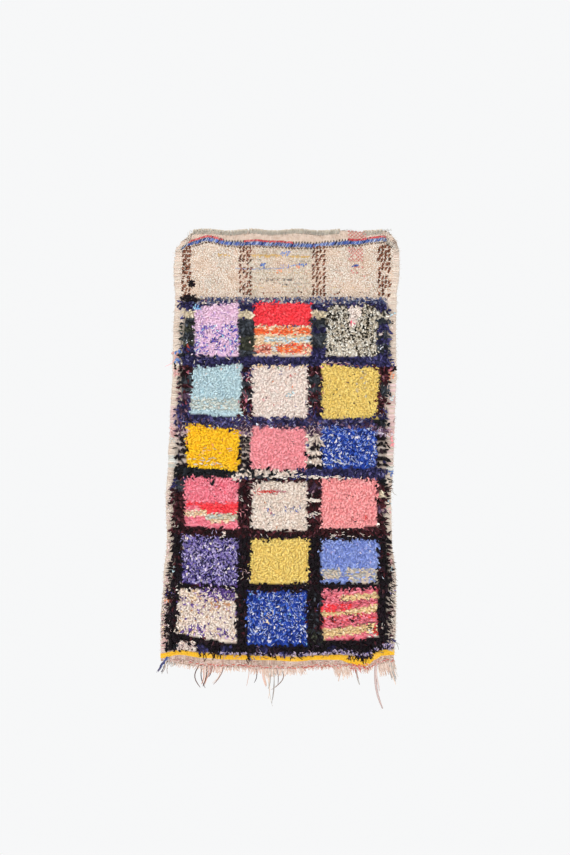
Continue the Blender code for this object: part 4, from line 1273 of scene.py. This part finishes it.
# The loops start some way under the line of stitches, and thin lines show between some of them.
LOOPS_TOP, LOOPS_CLEAR, LOOP_PITCH = 44.0, 12.0, 6.3
FLAT_LOOPS = 0.25
HEADING_LINE_SHARE = 0.16


def build_heading_loops(material):
    """Low knots of the bare heading: short upright dashes close together in rows."""
    draw = np.random.default_rng(SEED + 100)
    across, depth = knot_grid(
        lambda level: left_edge(level) + 14.0,
        lambda level: right_edge(level) - 13.0,
        LOOPS_TOP, PILE_TOP + 10, LOOP_PITCH, draw,
    )
    clear = depth > line_depth(across) + LOOPS_CLEAR
    across, depth = across[clear], depth[clear]
    count = len(across)
    turn = draw.normal(0, 0.5, count)
    half = draw.uniform(3.2, 4.6, count)
    flat = draw.random(count) < FLAT_LOOPS
    turn[flat] += math.pi / 2
    reach = pairs(np.sin(turn), np.cos(turn)) * half[:, None]
    middle = on_cloth(across, depth)
    names = palette_names("heading", HEADING_PATCHES, across, depth, draw)
    wide = draw.uniform(2.4, 3.4, count)
    loops = marks(middle, reach, GROUND_FRONT - 0.7, wide, 1.0, rag_colours(names, draw))
    lined = draw.random(count) < HEADING_LINE_SHARE
    count = lined.sum()
    turn = draw.normal(0, 0.35, count) + math.pi / 2 * (draw.random(count) < 0.4)
    reach = pairs(np.sin(turn), np.cos(turn)) * draw.uniform(2.0, 5.0, (count, 1))
    middle = middle[lined] + [3.0, 1.0]
    shade = shades("heading_line", count, draw)
    lines = marks(middle, reach, GROUND_FRONT + 0.9, 0.55, 0.5, shade, 3, 3, 0.5)
    return make_piece("heading_loops", joined([loops, lines] + heading_wefts(draw)), material)


def heading_wefts(draw):
    bundles = []
    for weft in HEADING_WEFTS:
        at = np.arange(weft.left, weft.right, 7.0)
        at = at[draw.random(len(at)) < weft.share]
        middle = on_cloth(at, weft.depth + draw.normal(0, 1.2, len(at)))
        reach = pairs(draw.uniform(3.0, 4.6, len(at)), draw.normal(0, 0.7, len(at)))
        shade = shades(weft.palette, len(at), draw)
        bundles.append(marks(middle, reach, GROUND_FRONT + 1.1, weft.thick, 0.8, shade, 4, 3, 0.4))
    return bundles


def brown_knots(column, level, draw):
    """One short row of brown knots: an upright dash with a level one above and below it."""
    places = np.linspace(column.left + 5, column.right - 5, 4) + draw.normal(0, 1.6, 4)
    places = places[draw.random(4) < (1.0 if level < 100 else 0.8)]
    count = len(places)
    middle = on_cloth(places, level + draw.normal(0, 1.8, count))
    upright = pairs(draw.normal(0, 2.0, count), draw.uniform(2.5, 4.5, count))
    flat = pairs(draw.uniform(3.0, 6.2, count), draw.normal(0, 2.4, count))
    aside = np.array([1.5, 3.5])
    parts = ((middle, upright, 2.2), (middle + aside, flat, 1.9), (middle - aside, flat * 0.8, 1.7))
    for centre, reach, wide in parts:
        kept = draw.random(count) < 0.75 * column.bold
        shade = shades("brown_speck", count, draw)[kept]
        yield marks(centre[kept], reach[kept], GROUND_FRONT + 1.2, wide * column.bold, 1.5, shade)


def build_brown_columns(material):
    """Brown knots in short rows, one under the other, down four narrow columns of the heading."""
    draw = np.random.default_rng(SEED + 110)
    bundles = []
    for column in BROWN_COLUMNS:
        for level in np.arange(BROWN_TOP, PILE_TOP - 2, BROWN_ROW):
            bundles += brown_knots(column, level, draw)
    return make_piece("brown_columns", joined(bundles), material)


def build_checked_rag(material):
    """The reddish lattice of a checked rag that is woven in near the right corner."""
    draw = np.random.default_rng(SEED + 120)
    bundles = []
    for check in CHECKS:
        down = slice(check.top, check.foot, CHECK_STEP)
        depth, across = np.mgrid[down, slice(check.left, check.right, 2 * CHECK_STEP)]
        across[1::2] += CHECK_STEP
        keep = draw.random(across.shape) < check.share
        middle = on_cloth(across[keep], depth[keep])
        for turn in (-1, 1):
            reach = np.tile([turn * CHECK_STEP * 0.5, CHECK_STEP * 0.5], (len(middle), 1))
            shade = shades("check_red", len(middle), draw)
            bundles.append(marks(middle, reach, GROUND_FRONT + 1.4, 0.8, 0.7, shade))
    return make_piece("checked_rag", joined(bundles), material)


def line_depth(across):
    wobble = 1.6 * np.sin(across / 31) + 1.0 * np.sin(across / 13)
    return between(LINE_ROUTE, across) + wobble


def slanted_stitches(across, offset, tall, slant, names, front, draw):
    """Stitches of the twined line, at an offset under it. Names is a palette or one for each stitch."""
    count = len(across)
    depth = line_depth(across) + offset + draw.normal(0, 0.7, count)
    reach = pairs(draw.normal(slant / 2, 0.6, count), tall / 2 * draw.uniform(0.8, 1.15, count))
    colours = rag_colours(np.broadcast_to(names, count), draw)
    middle = on_cloth(across, depth)
    return marks(middle, reach, GROUND_FRONT + front, draw.uniform(1.3, 2.1, count), 1.5, colours)


def build_twining(material):
    """The red and the blue line, and the row of brown stitches under them."""
    draw = np.random.default_rng(SEED + 130)
    at = np.concatenate([np.arange(-372, 397, 4.6), np.arange(-370, 397, 6.2)])
    names = np.where(at > BLUE_ENDS, "fringe_grey", "twine_blue")
    make_piece("twined_blue", slanted_stitches(at, 7.0, 14.5, 9.0, names, 1.0, draw), material)
    at = np.concatenate([np.arange(start, end, 3.8) for start, end in RED_RUNS])
    red = slanted_stitches(at, -3.5, 7.5, 4.5, "twine_red", 1.2, draw)
    at = np.concatenate([np.arange(start, end, DARK_PITCH) for start, end in DARK_RUNS])
    dark = slanted_stitches(at, -3.0, 7.0, 1.0, "black", 2.4, draw)
    at = np.arange(DARK_RUNS[1][0] + DARK_PITCH / 2, DARK_RUNS[1][1], DARK_PITCH)
    pale = slanted_stitches(at, -3.0, 6.0, 1.0, "pale_ground", 1.4, draw)
    make_piece("twined_red", joined([red, dark, pale]), material)
    at = np.arange(-366, 388, UNDER_PITCH)
    at = at + draw.normal(0, 1.2, len(at))
    under = [
        slanted_stitches(at + 2.5 * turn, 18.0, 7.0, turn * 5.0, "under_speck", 1.6, draw)
        for turn in (-1, 1)
    ]
    under.append(slanted_stitches(at + 5.8, 17.0, 6.0, -4.0, "pale_ground", 1.2, draw))
    make_piece("brown_stitches", joined(under), material)


# A wrap of the overcast yarn on its way from the front over the edge to the back: its distance from the
# front or the back of the cloth, its height beside its reach, and how far it slants across.
WRAP_FRONT, WRAP_BACK = -GROUND_FRONT - 1.3, -GROUND_BACK + 0.9
WRAP_OUT = (
    WRAP_FRONT + 1.2, WRAP_FRONT, WRAP_FRONT, WRAP_FRONT + 0.9, -1.8, WRAP_BACK, WRAP_BACK, WRAP_BACK - 1.0
)
WRAP_DROP = (-1.0, -0.8, -0.25, 0.05, 0.12, 0.05, -0.4, -0.9)
WRAP_SLANT = (-3.2, -2.2, -0.4, 0.2, 0.6, 1.0, 2.0, 3.2)


def overcast_wraps(across, draw):
    """One slanting wrap beside the next."""
    count, rings = len(across), WRAP_RINGS
    top = height(across, np.full(count, float(CLOTH_TOP)))
    out, drop, slant = (np.array(values) for values in (WRAP_OUT, WRAP_DROP, WRAP_SLANT))
    reach = WRAP_TALL * draw.uniform(0.8, 1.12, (count, 1))
    over = 4.6 + draw.normal(0, 0.6, (count, 1))
    level = across[:, None] + slant[None] + draw.normal(0, 0.4, (count, 1))
    rise = top[:, None] + over * (drop[None] > 0) + reach * drop[None]
    paths = np.stack([level, np.tile(out, (count, 1)), rise], -1)
    size = np.full((count, rings), 1.7) * draw.uniform(0.75, 1.2, (count, 1))
    slow = np.sin(across / 9 + 2.0 * np.sin(across / 31))
    shade = shades("overcast", count, draw) * (1 + 0.10 * slow[:, None])
    shade = np.repeat(shade[:, None, None, :], rings, axis=1)
    shade[:, 3:5, 0] = shades("overcast_rim", count, draw)[:, None]
    dark = draw.random(count) < 0.6
    shade[dark, 0, 0] = shades("overcast_foot", dark.sum(), draw)
    return tubes(paths, np.tile([1.0, 0.0, 0.0], (count, rings, 1)), size, size, 4, shade)


def build_overcast(material):
    """Grey yarn wound over the top edge, with the ends of its stitches under it."""
    draw = np.random.default_rng(SEED + 200)
    for name, start, end in OVERCAST_RUNS:
        across = np.arange(start, end, WRAP_PITCH)
        across = across + draw.normal(0, 0.6, len(across))
        wraps = overcast_wraps(across, draw)
        count = len(across) // 2
        low = on_cloth(draw.uniform(start, end, count), np.full(count, CLOTH_TOP + 8.0))
        low = low + draw.normal(0, 1.6, low.shape)
        reach = pairs(draw.normal(0, 1.6, count), draw.normal(0, 1.6, count))
        tint = shades("overcast_foot", count, draw)
        stitches = dashes(low, low + reach, -WRAP_FRONT + 0.4, 0.8, 0.6, tint, 4, 3, 0.3)
        piece = make_piece(name, joined([wraps, stitches]), material)
        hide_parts("top_" + name)


def build_foot_stripe(material):
    """Weft-faced yellow stripe: close rows of weft that turns over the warps."""
    draw = np.random.default_rng(SEED + 300)
    bundles = []
    for row in range(STRIPE_ROWS):
        across = np.arange(-448, 394, STRIPE_STITCH) + STRIPE_STITCH / 2 * (row % 2)
        top, foot = stripe_top(across), stripe_foot(across)
        middle = pairs(across, -(top + (foot - top) * (row + 0.5) / STRIPE_ROWS))
        slope = np.gradient(middle[:, 1], across)
        reach = pairs(np.full(len(across), 2.3), 2.3 * slope)
        wide = (foot - top) / STRIPE_ROWS / 2 * draw.uniform(1.1, 1.35, len(across))
        shade = shades("stripe_yellow", len(across), draw)
        bundles.append(marks(middle, reach, GROUND_FRONT + 0.2, wide, 1.1, shade, 4, 3, 0.5))
    return make_piece("foot_stripe", joined(bundles), material)


def hanging_threads(thread, draw):
    """Curly dark threads that hang down over the stripe."""
    share = np.linspace(0, 1, THREAD_RINGS)
    count = (thread.count, 1)
    curl = draw.uniform(1.5, 5.0, count)
    curl = curl * np.sin(share * draw.uniform(3, 9, count) + draw.uniform(0, 6, count))
    fall = thread.drop * draw.uniform(0.35, 1.0, count) * share + 0.5 * curl
    across = draw.uniform(thread.left, thread.right, count) + draw.normal(0, 6.0, count) * share + curl
    front = np.full(across.shape, -GROUND_FRONT - 2.6)
    shade = shades(thread.palette, thread.count, draw)
    size = draw.uniform(0.9, 2.0, thread.count)
    return strands(np.stack([across, front, -thread.top - fall], -1), size, shade)


def build_foot_bits(material):
    """Loops above the yellow stripe, and threads over it."""
    draw = np.random.default_rng(SEED + 310)
    bundles = []
    for bits in FOOT_BITS:
        count = int((bits.right - bits.left) * bits.tall * bits.share / BIT_AREA)
        across = draw.uniform(bits.left, bits.right, count)
        root = pairs(across, -(stripe_top(across) - 8 - draw.uniform(0, 1, count) * bits.tall))
        turn = draw.normal(0, 0.7, count)
        reach = pairs(np.sin(turn), -np.cos(turn)) * draw.uniform(6, 10, (count, 1))
        shade = shades(bits.palette, count, draw) * 0.9
        bundles.append(dashes(root, root + reach, GROUND_FRONT + 10.0, 2.2, 1.4, shade, 4, 4, 4.0))
    bundles += [hanging_threads(thread, draw) for thread in THREADS]
    return make_piece("foot_bits", joined(bundles), material)


def band_ribs(draw):
    """Close warp-faced ribs from the stripe to the foot of the cloth."""
    across = np.arange(-446, 392, RIB_PITCH)
    count = len(across)
    top = stripe_foot(across) + 1.0
    foot = np.maximum(-foot_height(across) + 1.5, top + 6.0)
    for share in (0.0, 0.5):
        starts = pairs(across + draw.normal(0, 0.5, count), -(top + (foot - top) * share))
        ends = pairs(across + draw.normal(0, 0.9, count), -(top + (foot - top) * (share + 0.52)))
        shade = shades("foot_band", count, draw)
        yield dashes(starts, ends, GROUND_FRONT - 0.3, 2.3, 1.1, shade, 4, 3, 0.6)


def band_specks(draw):
    """Coloured specks all over the closing band."""
    count = BAND_SPECKS
    across = draw.uniform(-440, 388, count)
    upper = stripe_foot(across) + 2.0
    level = upper + draw.uniform(0, 1, count) ** 0.6 * (foot_height(across) * -1 - upper)
    reach = pairs(draw.normal(0, 2.6, count), draw.normal(0, 1.2, count))
    kinds = np.array(["tuft_pale", "fringe_red", "heading_line", "tuft_pink"])
    names = draw.choice(kinds, count, p=(0.45, 0.2, 0.15, 0.2))
    return marks(pairs(across, -level), reach, GROUND_FRONT + 0.8, 1.4, 0.9, rag_colours(names, draw))


def red_stitches(draw):
    """The reddish thread along the foot of the band, and the stitches under the dip of the stripe."""
    at = np.arange(-342, 392, 5.5)
    level = between(RED_LINE, at) + draw.normal(0, 2.4, len(at))
    keep = draw.random(len(at)) < between(RED_SHOWS, at)
    middle = pairs(at, -level)[keep]
    count = len(middle)
    reach = pairs(draw.uniform(2.0, 4.5, count), draw.normal(0, 2.2, count))
    yield marks(middle, reach, GROUND_FRONT + 0.9, 1.5, 1.1, shades("red_thread", count, draw))
    count = DIP_STITCHES
    start = pairs(draw.uniform(222, 306, count), -draw.uniform(1568, 1590, count))
    reach = pairs(draw.normal(8, 2, count), -draw.normal(6, 2, count))
    names = draw.choice(np.array(["red_thread", "fringe"]), count, p=(0.7, 0.3))
    yield dashes(start, start + reach, GROUND_FRONT + 1.2, 1.2, 1.0, rag_colours(names, draw))


def build_foot_band(material):
    """The closing band, with a reddish thread along its lower edge."""
    draw = np.random.default_rng(SEED + 320)
    bundles = list(band_ribs(draw))
    bundles.append(band_specks(draw))
    bundles += red_stitches(draw)
    return make_piece("foot_band", joined(bundles), material)


def hanging(across, length, drift, bow, draw):
    """Paths of ends that hang from the foot of the cloth."""
    start = foot_height(across)
    share = np.linspace(0, 1, FRINGE_RINGS)
    count = (len(across), 1)
    wave = draw.normal(0, 1.6, count)
    wave = wave * np.sin(share[None] * draw.uniform(4, 11, count) + draw.uniform(0, 6, count))
    side = across[:, None] + drift[:, None] * share**1.3
    side = side + bow[:, None] * np.sin(share * math.pi) + wave * share
    out = -GROUND_FRONT + 1.4 - draw.uniform(0, 3.0, count) * share
    return np.stack([side, out, start[:, None] + 3.0 - (length[:, None] + 3.0) * share], -1)


def build_fringe(material):
    """Frayed warp ends: short ones in clumps all along, and long ones where they hang in the solids."""
    draw = np.random.default_rng(SEED + 400)
    across, length, drift, bow, size = np.array([strand[:5] for strand in STRANDS], float).T
    shade = rag_colours(np.array([strand.palette for strand in STRANDS]), draw)
    bundles = [strands(hanging(across, length, drift, bow, draw), size * 1.4, shade)]
    for clump in CLUMPS:
        across = draw.uniform(clump.left, clump.right, clump.count)
        length = clump.length * draw.uniform(0.35, 1.15, clump.count)
        drift = draw.normal(clump.drift, 5.0, clump.count) * length / clump.length
        bow = draw.normal(0, 2.0, clump.count)
        names = np.where(draw.random(clump.count) < 0.7, clump.palette, "fringe")
        size = draw.uniform(0.6, 1.4, clump.count)
        paths = hanging(across, length, drift, bow, draw)
        bundles.append(strands(paths, size, rag_colours(names, draw)))
    piece = make_piece("fringe", joined(bundles), material)
    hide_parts("bottom_fringe")
    return piece


def side_fuzz(side, edge, count, draw):
    """Short fine fibres along one side."""
    level = draw.uniform(20, 1540, count)
    turn = draw.normal(0, 0.8, count)
    reach = pairs(side * np.cos(turn), np.sin(turn)) * draw.uniform(4, 11, (count, 1))
    start = on_cloth(edge(level), level)
    shade = shades("fuzz", count, draw)
    return dashes(start - reach * 0.4, start + reach, 2.0, 0.32, 0.32, shade, 3, 4, 2.5)


def top_fuzz(count, draw):
    """Short grey fibres along the top edge."""
    across = draw.uniform(-345, 385, count)
    start = on_cloth(across, np.full(count, CLOTH_TOP + 1.0))
    start = start + pairs(np.zeros(count), draw.normal(1, 2, count))
    turn = draw.normal(0, 1.0, count)
    reach = pairs(np.sin(turn), np.abs(np.cos(turn))) * draw.uniform(3, 7, (count, 1))
    shade = shades("fuzz_grey", count, draw)
    return dashes(start - reach * 0.5, start + reach * 0.8, 2.2, 0.4, 0.4, shade, 3, 4, 2.0)


def side_loops(draw):
    """Loose dark loops down both lower selvedges, in the form of the loose threads."""
    loops = []
    for level in draw.uniform(1120, 1500, 15):
        edge = right_edge(level)
        loops.append((edge - 16, level, edge - 3, level + 24, -draw.uniform(9, 17), "fuzz_dark"))
    for level in draw.uniform(960, 1500, 12):
        edge = left_edge(level)
        loops.append((edge + 8, level, edge + 2, level + 16, draw.uniform(4, 9), "fuzz_dark"))
    return tuple(loops)


def loose_thread(left, top, right, foot, bow, palette, draw):
    """One thread from a place to another, bowed to one side."""
    share = np.linspace(0, 1, THREAD_RINGS)
    away = np.array([foot - top, left - right], float)
    away = away / max(np.linalg.norm(away), 1.0) * bow
    across = left + (right - left) * share + away[0] * np.sin(share * math.pi)
    level = top + (foot - top) * share + away[1] * np.sin(share * math.pi)
    path = np.stack([across, -4.5 - 2.0 * np.sin(share * math.pi), -level], -1)
    return strands(path[None], np.array([0.9]), shades(palette, 1, draw))


LEFT_FIBRES, RIGHT_FIBRES, TOP_FIBRES = 260, 330, 420


def build_fuzz(material):
    """Fine loose fibres round the outline, and longer loose threads at the corners and selvedges."""
    draw = np.random.default_rng(SEED + 450)
    bundles = [side_fuzz(-1, left_edge, LEFT_FIBRES, draw), side_fuzz(1, right_edge, RIGHT_FIBRES, draw)]
    bundles.append(top_fuzz(TOP_FIBRES, draw))
    bundles += [loose_thread(*thread, draw) for thread in LOOSE_THREADS + side_loops(draw)]
    return make_piece("fuzz", joined(bundles), material)


# How far the dark stitches go down the left and the right corner, and how many specks lie between them.
LEFT_STITCHES_FOOT, RIGHT_STITCHES_FOOT, EDGE_SPECKS = 48, 84, 260


def build_corner_stitches(material):
    """Dark grey stitches that go on down both top corners, and specks under the overcast edge."""
    draw = np.random.default_rng(SEED + 460)
    bundles = []
    for side, edge, foot in ((-1, left_edge, LEFT_STITCHES_FOOT), (1, right_edge, RIGHT_STITCHES_FOOT)):
        level = np.arange(10, foot, 5.0)
        outer = on_cloth(edge(level), level)
        inner = outer - [side * 11.0, 4.0]
        keep = draw.random(len(level)) < 0.8
        shade = shades("fuzz_dark", keep.sum(), draw)
        bundles.append(dashes(inner[keep], outer[keep], GROUND_FRONT + 0.2, 0.9, 0.9, shade, 4, 4, 0.8))
    count = EDGE_SPECKS
    start = on_cloth(draw.uniform(-318, 345, count), draw.uniform(20, 32, count))
    reach = pairs(draw.normal(0, 1.2, count), draw.normal(0, 1.2, count))
    shade = rag_colours(draw.choice(np.array(["overcast_foot", "heading_line"]), count), draw)
    bundles.append(dashes(start, start + reach, GROUND_FRONT + 0.4, 0.7, 0.5, shade, 4, 3, 0.3))
    return make_piece("corner_stitches", joined(bundles), material)


# The ends of the corner yarn, and where they are knotted on.
YARN_ENDS, YARN_RINGS = 26, 8
YARN_ACROSS, YARN_DEPTH = -422, 1545


def build_corner_yarn(material):
    """Blue yarn ends knotted on at the foot of the left selvedge."""
    draw = np.random.default_rng(SEED + 500)
    count = (YARN_ENDS, 1)
    share = np.linspace(0, 1, YARN_RINGS)
    lean = draw.uniform(-0.85, -0.05, count)
    length = draw.uniform(26, 62, count)
    across = YARN_ACROSS + draw.normal(0, 3.4, count) + lean * length * share
    across = across + 2.2 * np.sin(share * 8 + lean * 9)
    out = -GROUND_FRONT - 1.0 - 3.0 * np.sin(share * math.pi) * draw.uniform(0.5, 1.3, count)
    paths = np.stack([across, out, -YARN_DEPTH - length * share], -1)
    size = draw.uniform(0.9, 1.9, YARN_ENDS)
    kinds = np.array(["corner_blue", "corner_dark", "fuzz"])
    names = draw.choice(kinds, YARN_ENDS, p=(0.62, 0.23, 0.15))
    root_shade = rag_colours(names, draw)[:, None, None, :]
    tip_shade = shades("corner_dark", YARN_ENDS, draw)[:, None, None, :]
    mixed = np.interp(share, (0, 0.55, 1), (0, 0.1, 0.8))[None, :, None, None]
    shade = root_shade * (1 - mixed) + tip_shade * mixed
    piece = make_piece("corner_yarn", strands(paths, size, shade), material)
    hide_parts("corner_yarn_left")


def build_ground(material):
    piece = make_piece("ground_cloth", ground_sheet(np.random.default_rng(SEED + 600)), material)
    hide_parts("rug_body")


# The height of the photograph's frame at the plane of the rug, and its centre there.
PHOTO_HIGH = 3.078
PHOTO_CENTRE = (0.0, -0.012, -0.718)
CAMERA_AWAY = 4.6
SENSOR = 36.0


def build_camera():
    data = bpy.data.cameras.new("camera")
    data.sensor_width = SENSOR
    data.lens = SENSOR * CAMERA_AWAY / PHOTO_HIGH
    camera = bpy.data.objects.new("camera", data)
    camera.location = Vector(PHOTO_CENTRE) + Vector((0.0, -CAMERA_AWAY, 0.0))
    camera.rotation_euler = (math.radians(90), 0.0, 0.0)
    bpy.context.scene.collection.objects.link(camera)
    bpy.context.scene.camera = camera


LIT_PLACE = (0.0, 0.0, -0.8)


def build_light(name, place, power):
    """A wide soft lamp turned to the rug."""
    data = bpy.data.lights.new(name, "AREA")
    data.shape = "DISK"
    data.size = 3.0
    data.energy = power
    light = bpy.data.objects.new(name, data)
    light.location = place
    light.rotation_euler = (Vector(LIT_PLACE) - Vector(place)).to_track_quat("-Z", "Y").to_euler()
    bpy.context.scene.collection.objects.link(light)


def build_world(colour):
    world = bpy.data.worlds.new("pale_room")
    world.use_nodes = True
    sky = world.node_tree.nodes["Background"]
    sky.inputs["Color"].default_value = (*colour, 1.0)
    sky.inputs["Strength"].default_value = 1.0
    bpy.context.scene.world = world


def build_floor():
    """A plain pale floor, below and in front of the rug."""
    bpy.ops.mesh.primitive_plane_add(size=1.0, location=(0.0, -1.6, -2.42))
    floor = bpy.context.object
    floor.name = "pale_floor"
    floor.scale = (6.0, 3.6, 1.0)
    material, nodes, links, shader = new_material("pale_floor")
    grain = add_node(nodes, "ShaderNodeTexNoise", Scale=12.0, Detail=4.0)
    tone = add_range(nodes, 0.84, 0.88)
    links.new(grain.outputs["Fac"], tone.inputs["Value"])
    links.new(tone.outputs["Result"], shader.inputs["Base Color"])
    shader.inputs["Roughness"].default_value = 0.85
    floor.data.materials.append(material)


def build_stage():
    build_camera()
    build_world((0.93, 0.935, 0.94))
    build_light("key", (-1.2, -4.2, 0.6), 130.0)
    build_light("fill", (1.8, -4.0, -1.2), 60.0)
    build_floor()
    bpy.context.scene.view_settings.view_transform = "Standard"


def build_rug():
    rags = cloth_material("rag_cloth", crease=0.002)
    yarn = cloth_material("yarn", grain=1600.0, mottle=300.0, relief=0.0003, roughness=0.88)
    weave = weave_material("plain_weave")
    on_sheet = [build_pile_base(rags)]
    on_sheet += [build_square(number, square, rags) for number, square in enumerate(SQUARES)]
    on_sheet += [build_ground_part(*part, rags) for part in GROUND_PARTS]
    on_sheet += [build_selvedge_tufts(rags), build_selvedges(yarn), build_wisps(rags)]
    on_sheet += [build_side_rags(rags), build_heading_loops(rags), build_brown_columns(yarn)]
    on_sheet += [build_checked_rag(yarn), build_foot_stripe(yarn), build_foot_bits(rags)]
    on_sheet += [build_foot_band(yarn), build_fringe(yarn)]
    build_twining(yarn)
    build_overcast(yarn)
    build_corner_stitches(yarn)
    build_corner_yarn(yarn)
    build_fuzz(yarn)
    build_ground(weave)


build_stage()
build_rug()
